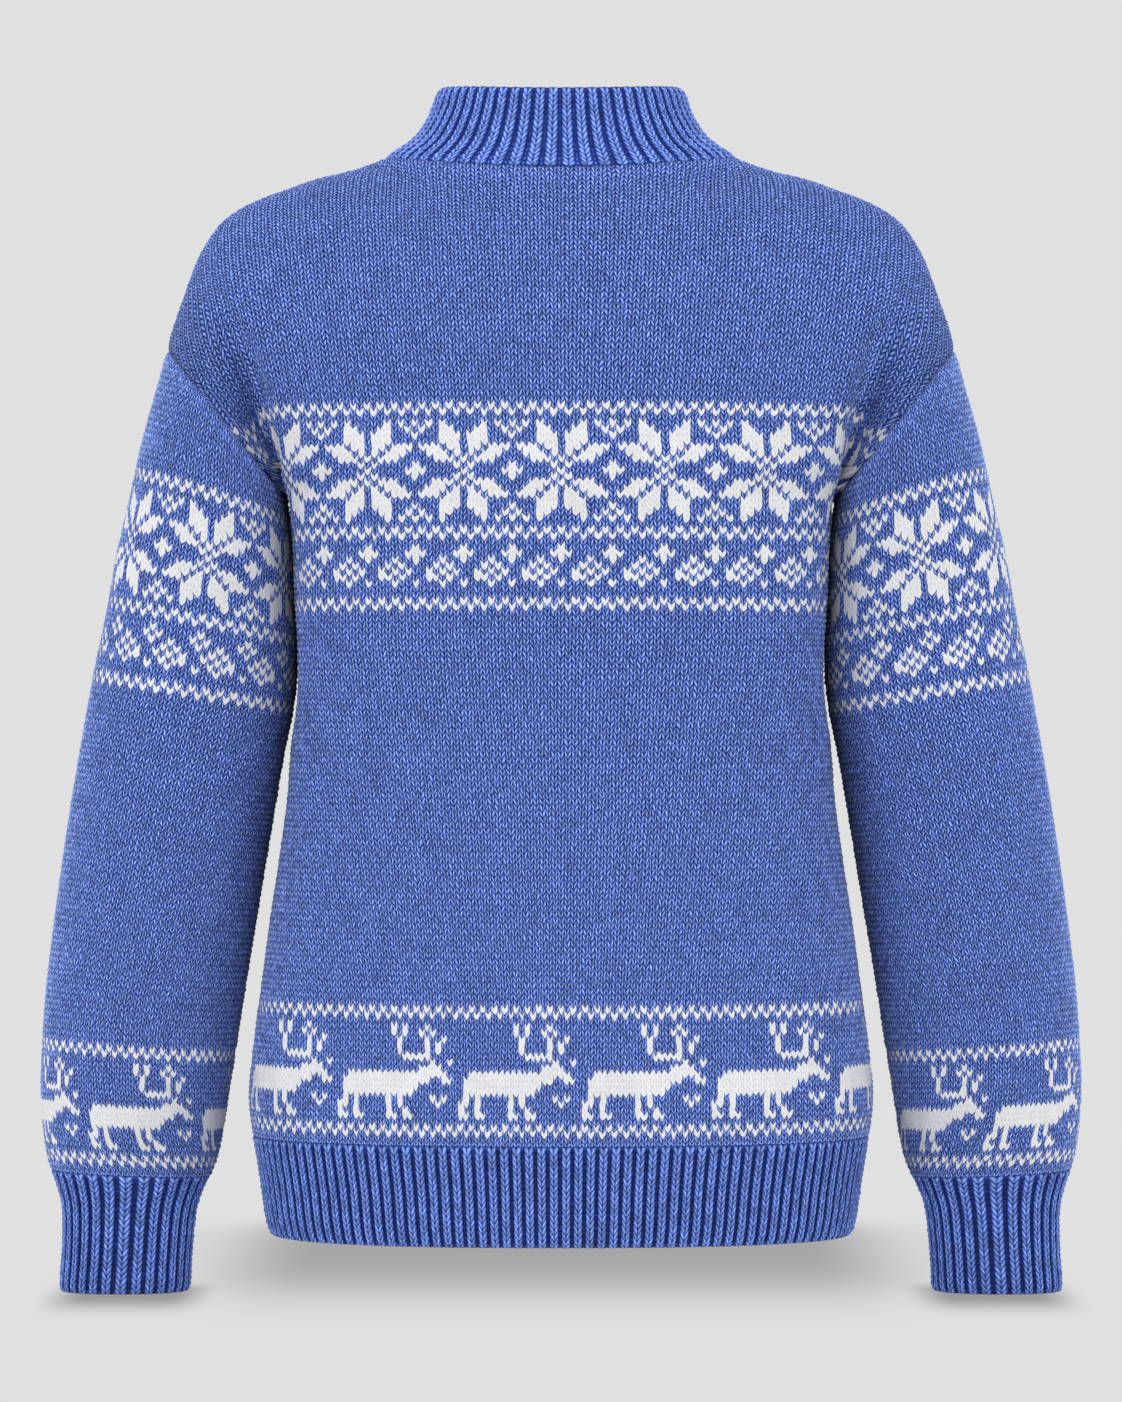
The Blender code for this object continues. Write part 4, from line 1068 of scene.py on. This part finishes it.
def read_grid(grid, across_at, up_at, across, up):
    """A grid of points read between its rows and columns by straight interpolation."""
    i = np.clip(np.searchsorted(across_at, across, side="right") - 1, 0, len(across_at) - 2)
    j = np.clip(np.searchsorted(up_at, up, side="right") - 1, 0, len(up_at) - 2)
    i = np.broadcast_to(i, up.shape)
    s = ((across - across_at[i]) / (across_at[i + 1] - across_at[i]))[..., None]
    t = ((up - up_at[j]) / (up_at[j + 1] - up_at[j]))[..., None]
    low = grid[j, i] * (1 - s) + grid[j, i + 1] * s
    high = grid[j + 1, i] * (1 - s) + grid[j + 1, i + 1] * s
    return low * (1 - t) + high * t


def surface_of(grid, rows_up, ringed):
    """A reader of points and inward directions over a grid of rings or rows."""
    across_at = np.linspace(0, 1, grid.shape[1])
    step = np.gradient(wrapped_round(grid) if ringed else grid, axis=1)
    step = step[:, 1:-1] if ringed else step
    middle = grid.mean(axis=1, keepdims=True) * (1, int(ringed), 1)
    way = unit(np.cross(step, np.gradient(grid, axis=0)))
    facing = (way * ((grid - middle) * (1, 1, 0))).sum(-1, keepdims=True)
    both = np.concatenate([grid, way * np.where(facing > 0, -1, 1)], axis=2)

    def read(shares, rows):
        at = np.broadcast_to(shares[None], rows.shape)
        found = read_grid(both, across_at, rows_up, at, rows)
        return found[..., :3], unit(found[..., 3:])

    return read


def hem_grid(side):
    """Rows of the hem from its open end up to the panel, and their heights in rows."""
    across = np.linspace(-1, 1, FINE)
    facing = turned_over(across < 0, 0) * FACING[side]

    def level(z):
        return body_arc(z, np.abs(across), side == "front") * facing

    heights = np.linspace(HEM_END, HEM_TOP - SEAM_GAP, RIB_RINGS)
    grid = np.array([level(z) for z in heights])
    miss = place_on(side, across, np.array([HEM_TOP]))[0] - level(HEM_TOP)
    grid += miss[None] * np.exp((heights - HEM_TOP) / 9)[:, None, None]
    return grid, (heights - HEM_END) / ROW


def cuff_grid():
    """Rings of a cuff from its open end up to the sleeve, and their heights in rows."""
    levels = np.linspace(len(CUFF) - 1, 0, RIB_RINGS)
    grid = rings(CUFF, levels, np.linspace(0, 360, FINE))[2]
    rise = np.linalg.norm(np.diff(grid[:, 0], axis=0), axis=1)
    return grid, running(rise) / ROW


def neck_grid():
    """Rings of the neckband from the neck seam to its open top, and their heights in rows."""
    a = np.radians(np.linspace(0, 360, FINE))
    rear = np.cos(a) > 0
    quarter = np.degrees(np.arcsin(np.clip(np.abs(np.sin(a)), 0, 1)))
    back, fore = neck_point(quarter, False) * (1, -1, 1), neck_point(quarter, True)
    first = np.where(rear[:, None], back, fore)
    first[:, 0] *= np.sign(np.sin(a)) + (np.sin(a) == 0)
    found = [first]
    for row, side_y in zip(COLLAR[1:], COLLAR_SIDE_Y[1:]):
        _, half, back_y, back_z, side_z, front_y, front_z = row
        y = side_y + np.where(rear, back_y - side_y, side_y - front_y) * np.cos(a)
        z = side_z * np.sin(a) ** 2 + np.where(rear, back_z, front_z) * np.cos(a) ** 2
        found.append(np.stack([half * np.sin(a), y, z], axis=-1))
    share = np.linspace(0, 1, RIB_RINGS)
    flat = curve(COLLAR[:, 0], np.array(found).reshape(len(COLLAR), -1), share)
    grid = flat.reshape(RIB_RINGS, FINE, 3)
    rise = np.linalg.norm(np.diff(grid, axis=0), axis=2).mean(axis=1)
    return grid, running(rise) / ROW


# ---------------------------------------------------------------- materials


def new_material(name):
    """A material's makers: add gives a node of a kind with its sockets filled, each with
    a plain value or another node's output; maths gives the result of a sum; and finish
    fills the shader's sockets and gives the material."""
    material = bpy.data.materials.new(name)
    material.use_nodes = True
    nodes, links = material.node_tree.nodes, material.node_tree.links

    def fill(node, sockets):
        for socket, value in sockets.items():
            if isinstance(value, bpy.types.NodeSocket):
                links.new(value, node.inputs[socket])
            else:
                node.inputs[socket].default_value = value
        return node

    def add(kind, sockets, **settings):
        node = nodes.new("ShaderNode" + kind)
        for setting, value in settings.items():
            setattr(node, setting, value)
        return fill(node, sockets)

    def maths(kind, *values):
        return add("Math", dict(enumerate(values)), operation=kind).outputs[0]

    def finish(sockets):
        fill(nodes["Principled BSDF"], sockets)
        return material

    return finish, add, maths


def yarn(name, stops, sheen, tones, specks):
    """Wool: the colour runs from painted shade in a hollow through a strand's side to a painted
    highlight on its crest by the raise attribute, each leg has its own tone, and fibres make
    light and dark specks."""
    finish, add, maths = new_material(name)
    place = add("TexCoord", {}).outputs["Object"]

    def read(attribute):
        return add("Attribute", {}, attribute_name=attribute).outputs

    def noise(size, detail):
        sockets = {"Scale": size, "Detail": detail, "Vector": place}
        return add("TexNoise", sockets).outputs["Fac"]

    fibres, flecks, patches = noise(1500, 3), noise(800, 2), noise(55, 2)
    # Painted highlight along a strand's middle, fading to painted shade at its sides and ends.
    spot = add("SeparateXYZ", {"Vector": read("leg")["Vector"]}).outputs
    side = maths("POWER", maths("ABSOLUTE", spot["X"]), 1.5)
    ends = maths("POWER", maths("ABSOLUTE", maths("MULTIPLY_ADD", spot["Y"], 2.0, -1.0)), 3.0)
    strand = maths("MULTIPLY", maths("MULTIPLY_ADD", side, -1.0, 1.0),
                   maths("MULTIPLY_ADD", ends, -0.45, 1.0))
    strand = maths("MULTIPLY_ADD", strand, 1.7, -0.7)
    flag = maths("MULTIPLY", spot["Z"], 0.7)
    blend = add("Mix", {"Factor": flag, "A": read("raise")["Fac"], "B": strand})
    sockets = {"Value": blend.outputs["Result"], "From Min": -1.0, "From Max": 1.0}
    ramp = add("ValToRGB", {"Fac": add("MapRange", sockets).outputs["Result"]})
    for k, (at, colour) in enumerate(stops):
        elements = ramp.color_ramp.elements
        stop = elements[k] if k < 2 else elements.new(at)
        stop.position = at
        stop.color = (*colour, 1)

    # How light each place is: the leg's own tone, the cloth's painted shade, patches and
    # flecks.
    own = maths("MULTIPLY", maths("MULTIPLY_ADD", read("tone")["Fac"], tones, 1.0),
                read("shade")["Fac"])
    patchy = maths("MULTIPLY_ADD", patches, 0.24, 0.88)
    flecked = maths("MULTIPLY_ADD", flecks, 2 * specks, 1 - specks)
    light = maths("MULTIPLY", maths("MULTIPLY", own, patchy), flecked)
    tinted = add("VectorMath", {0: ramp.outputs["Color"], "Scale": light}, operation="SCALE")
    bump = add("Bump", {"Strength": 0.35, "Distance": 0.0003, "Height": fibres})
    return finish({
        "Base Color": tinted.outputs["Vector"], "Normal": bump.outputs["Normal"],
        "Roughness": 0.88, "Specular IOR Level": 0.1, "Sheen Weight": sheen,
        "Sheen Roughness": 0.5,
    })


def inside_yarn(name, dark, light):
    """The back of the fabric: purl bumps as short level bars, which are the cells of a
    Voronoi pattern stretched sideways, with a painted highlight in their middles and painted
    shade between them."""
    finish, add, _ = new_material(name)
    place = add("TexCoord", {}).outputs["Object"]
    level = add("Mapping", {"Vector": place, "Scale": (0.55, 0.55, 1.0)}).outputs["Vector"]
    bars = add("TexVoronoi", {"Scale": 420.0, "Vector": level}).outputs["Distance"]
    ramp = add("ValToRGB", {"Fac": bars})
    ramp.color_ramp.elements[0].color = (*light, 1)
    ramp.color_ramp.elements[1].color = (*dark, 1)
    ramp.color_ramp.elements[1].position = 0.75
    bump = add("Bump", {"Strength": 0.6, "Distance": 0.0008, "Height": bars}, invert=True)
    return finish({
        "Base Color": ramp.outputs["Color"], "Normal": bump.outputs["Normal"],
        "Roughness": 0.92, "Specular IOR Level": 0.2,
    })


def pale_floor(name, colour):
    """A pale seamless floor, lit evenly like the room behind it, with soft shadows laid
    under the body (deepest behind it) and round each cuff, worked out from the place.

    Each shadow is a product of smooth steps from one place to another, in metres."""
    finish, add, maths = new_material(name)
    place = add("TexCoord", {}).outputs["Object"]
    parts = add("SeparateXYZ", {"Vector": place}).outputs

    def step(value, low, high):
        sockets = {"From Min": low, "From Max": high, "Value": value}
        return add("MapRange", sockets, interpolation_type="SMOOTHSTEP").outputs["Result"]

    def product(one, *others):
        for other in others:
            one = maths("MULTIPLY", one, other)
        return one

    x, y = maths("ABSOLUTE", parts["X"]), parts["Y"]
    under = product(step(y, -0.27, 0.30), step(y, 0.60, 0.43), step(x, 0.235, 0.155))
    spill = product(step(y, -0.13, 0.16), step(y, 0.60, 0.36), step(x, 0.34, 0.19))
    aside = maths("ABSOLUTE", maths("SUBTRACT", x, 0.259))
    cuff = maths("POWER", step(y, -0.24, -0.02), 3.0)
    cuff = product(cuff, step(y, 0.08, 0.02), step(aside, 0.056, 0.024), 0.56)
    dark = maths("MULTIPLY_ADD", under, 0.35, product(spill, 0.14))
    light = product(maths("SUBTRACT", 1.0, dark), maths("SUBTRACT", 1.0, cuff))
    return finish({
        "Emission Strength": light, "Emission Color": (*colour, 1),
        "Base Color": (0, 0, 0, 1), "Roughness": 1.0, "Specular IOR Level": 0.0,
    })


# ---------------------------------------------------------------- the scene

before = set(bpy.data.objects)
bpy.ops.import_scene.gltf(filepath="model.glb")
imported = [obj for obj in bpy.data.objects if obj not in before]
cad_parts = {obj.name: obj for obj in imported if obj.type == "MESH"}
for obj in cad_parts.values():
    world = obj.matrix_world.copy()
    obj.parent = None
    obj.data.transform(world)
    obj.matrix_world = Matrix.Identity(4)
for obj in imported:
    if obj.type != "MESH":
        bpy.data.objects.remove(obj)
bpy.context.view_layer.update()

# Colours of a yarn from the painted shade of its hollows (0) to the painted highlight of
# its crests (1).
BLUE_STOPS = [
    (0.0, (0.012, 0.022, 0.110)), (0.5, (0.016, 0.034, 0.190)), (0.62, (0.018, 0.043, 0.248)),
    (0.75, (0.046, 0.098, 0.395)), (0.9, (0.235, 0.352, 0.800)), (1.0, (0.56, 0.68, 1.0)),
]
RIB_STOPS = [
    (0.0, (0.014, 0.026, 0.135)), (0.5, (0.020, 0.044, 0.235)), (0.62, (0.034, 0.076, 0.345)),
    (0.75, (0.090, 0.168, 0.550)), (0.9, (0.220, 0.335, 0.790)), (1.0, (0.38, 0.52, 0.92)),
]
WHITE_STOPS = [
    (0.2, (0.36, 0.40, 0.52)), (0.45, (0.61, 0.63, 0.70)), (0.65, (0.80, 0.805, 0.83)),
    (1.0, (0.88, 0.88, 0.885)),
]
blue = yarn("blue_wool_knit", BLUE_STOPS, 0.04, 0.15, 0.85)
white = yarn("white_wool_knit", WHITE_STOPS, 0.15, 0.025, 0.08)
rib_blue = yarn("blue_wool_rib", RIB_STOPS, 0.04, 0.18, 0.7)
inside = inside_yarn("blue_wool_inside", (0.02, 0.04, 0.17), (0.085, 0.14, 0.42))
knitted, ribbing = (blue, white, inside), (rib_blue, inside)

# Each piece has its own seed, so no two have the same uneven stitches.
pieces = {}
for side, seed in (("back", 7), ("front", 8)):
    grid, normal, height, shade = panel_surface(side)
    widths = np.interp(height, BODY_STITCH_AT, BODY_STITCH)
    table = band_table(BODY_CHEST, SMALL, STARS_TURN[side], DEER_TURN[side])
    pieces[f"{side}_panel"] = knit_piece(
        f"{side}_cloth", grid, normal, panel_rows(grid), widths, reach_across(grid), shade,
        LEANS[side], table, False, False, knitted, seed,
    )

grid, normal, row_at = sleeve_surface()
widths = np.interp(row_at[:, FINE // 4], SLEEVE_STITCH_AT, SLEEVE_STITCH)
for side, flip, seed in (("right", False, 9), ("left", True, 10)):
    table = band_table(SLEEVE_CHEST, SLEEVE_SMALL, STARS_TURN[side], DEER_TURN[side])
    pieces[f"{side}_sleeve"] = knit_piece(
        f"{side}_sleeve_cloth", grid, normal, row_at, widths, run_lengths(grid),
        sleeve_shade(grid), 0.0, table, True, flip, knitted, seed,
    )

for side, seed in (("back", 11), ("front", 12)):
    grid, rows_up = hem_grid(side)
    pieces[f"{side}_hem_rib"] = rib_piece(
        f"{side}_hem_ribbing", HEM_RIBS, surface_of(grid, rows_up, False), rows_up[-1],
        False, False, ribbing, seed, "bottom", 1.0,
    )
grid, rows_up = cuff_grid()
for side, flip, seed in (("right", False, 13), ("left", True, 14)):
    pieces[f"{side}_cuff"] = rib_piece(
        f"{side}_cuff_ribbing", CUFF_RIBS, surface_of(grid, rows_up, True), rows_up[-1],
        True, flip, ribbing, seed, "bottom", 1.0,
    )
grid, rows_up = neck_grid()
# The neckband's ribbing has more painted light than the hem's and the cuffs'.
pieces["neckband"] = rib_piece(
    "neckband_ribbing", NECK_RIBS, surface_of(grid, rows_up, True), rows_up[-1],
    True, False, ribbing, 15, "top", 1.22,
)

# Cut of each piece, metres: width, length, and its flat area where it isn't a rectangle.
CUTS = {
    "back_panel": (0.54, 0.61, 0.29),
    "front_panel": (0.55, 0.60, 0.29),
    "right_sleeve": (0.39, 0.49, 0.165),
    "left_sleeve": (0.39, 0.49, 0.165),
    "back_hem_rib": (0.49, 0.060, None),
    "front_hem_rib": (0.49, 0.060, None),
    "right_cuff": (0.24, 0.072, None),
    "left_cuff": (0.24, 0.072, None),
    "neckband": (0.52, 0.053, None),
}
for node, piece in pieces.items():
    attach(piece, "root")
    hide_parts(node)
    width, length, area = CUTS[node]

FLOOR = -0.680             # height of the floor, m
FLOOR_HALF = 60.0
ROOM = (0.745, 0.747, 0.747)
floor_mesh = bpy.data.meshes.new("floor")
floor_mesh.from_pydata(
    [(x * FLOOR_HALF, y * FLOOR_HALF, FLOOR) for x, y in ((-1, -1), (1, -1), (1, 1), (-1, 1))],
    [], [(0, 1, 2, 3)],
)
floor_mesh.materials.append(pale_floor("pale_floor", ROOM))
floor = add_object("floor", floor_mesh)

world = bpy.data.worlds.new("soft_room")
world.use_nodes = True
world.node_tree.nodes["Background"].inputs["Color"].default_value = (*ROOM, 1)
world.node_tree.nodes["Background"].inputs["Strength"].default_value = 1.0
bpy.context.scene.world = world

lamp = bpy.data.lights.new("soft_key", "SUN")
lamp.energy = 0.9
lamp.angle = math.radians(50)
add_object("soft_key", lamp).rotation_euler = (math.radians(62), 0, math.radians(-6))

camera = bpy.data.cameras.new("camera")
camera.sensor_fit = "AUTO"
camera.sensor_width = 36.0
camera.lens = 162.6
camera.clip_end = 300.0
camera_object = add_object("camera", camera)
camera_object.location = (0.0, -3.8, -0.3246)
camera_object.rotation_euler = (math.radians(90), 0, 0)
bpy.context.scene.camera = camera_object
bpy.context.scene.view_settings.view_transform = "Standard"
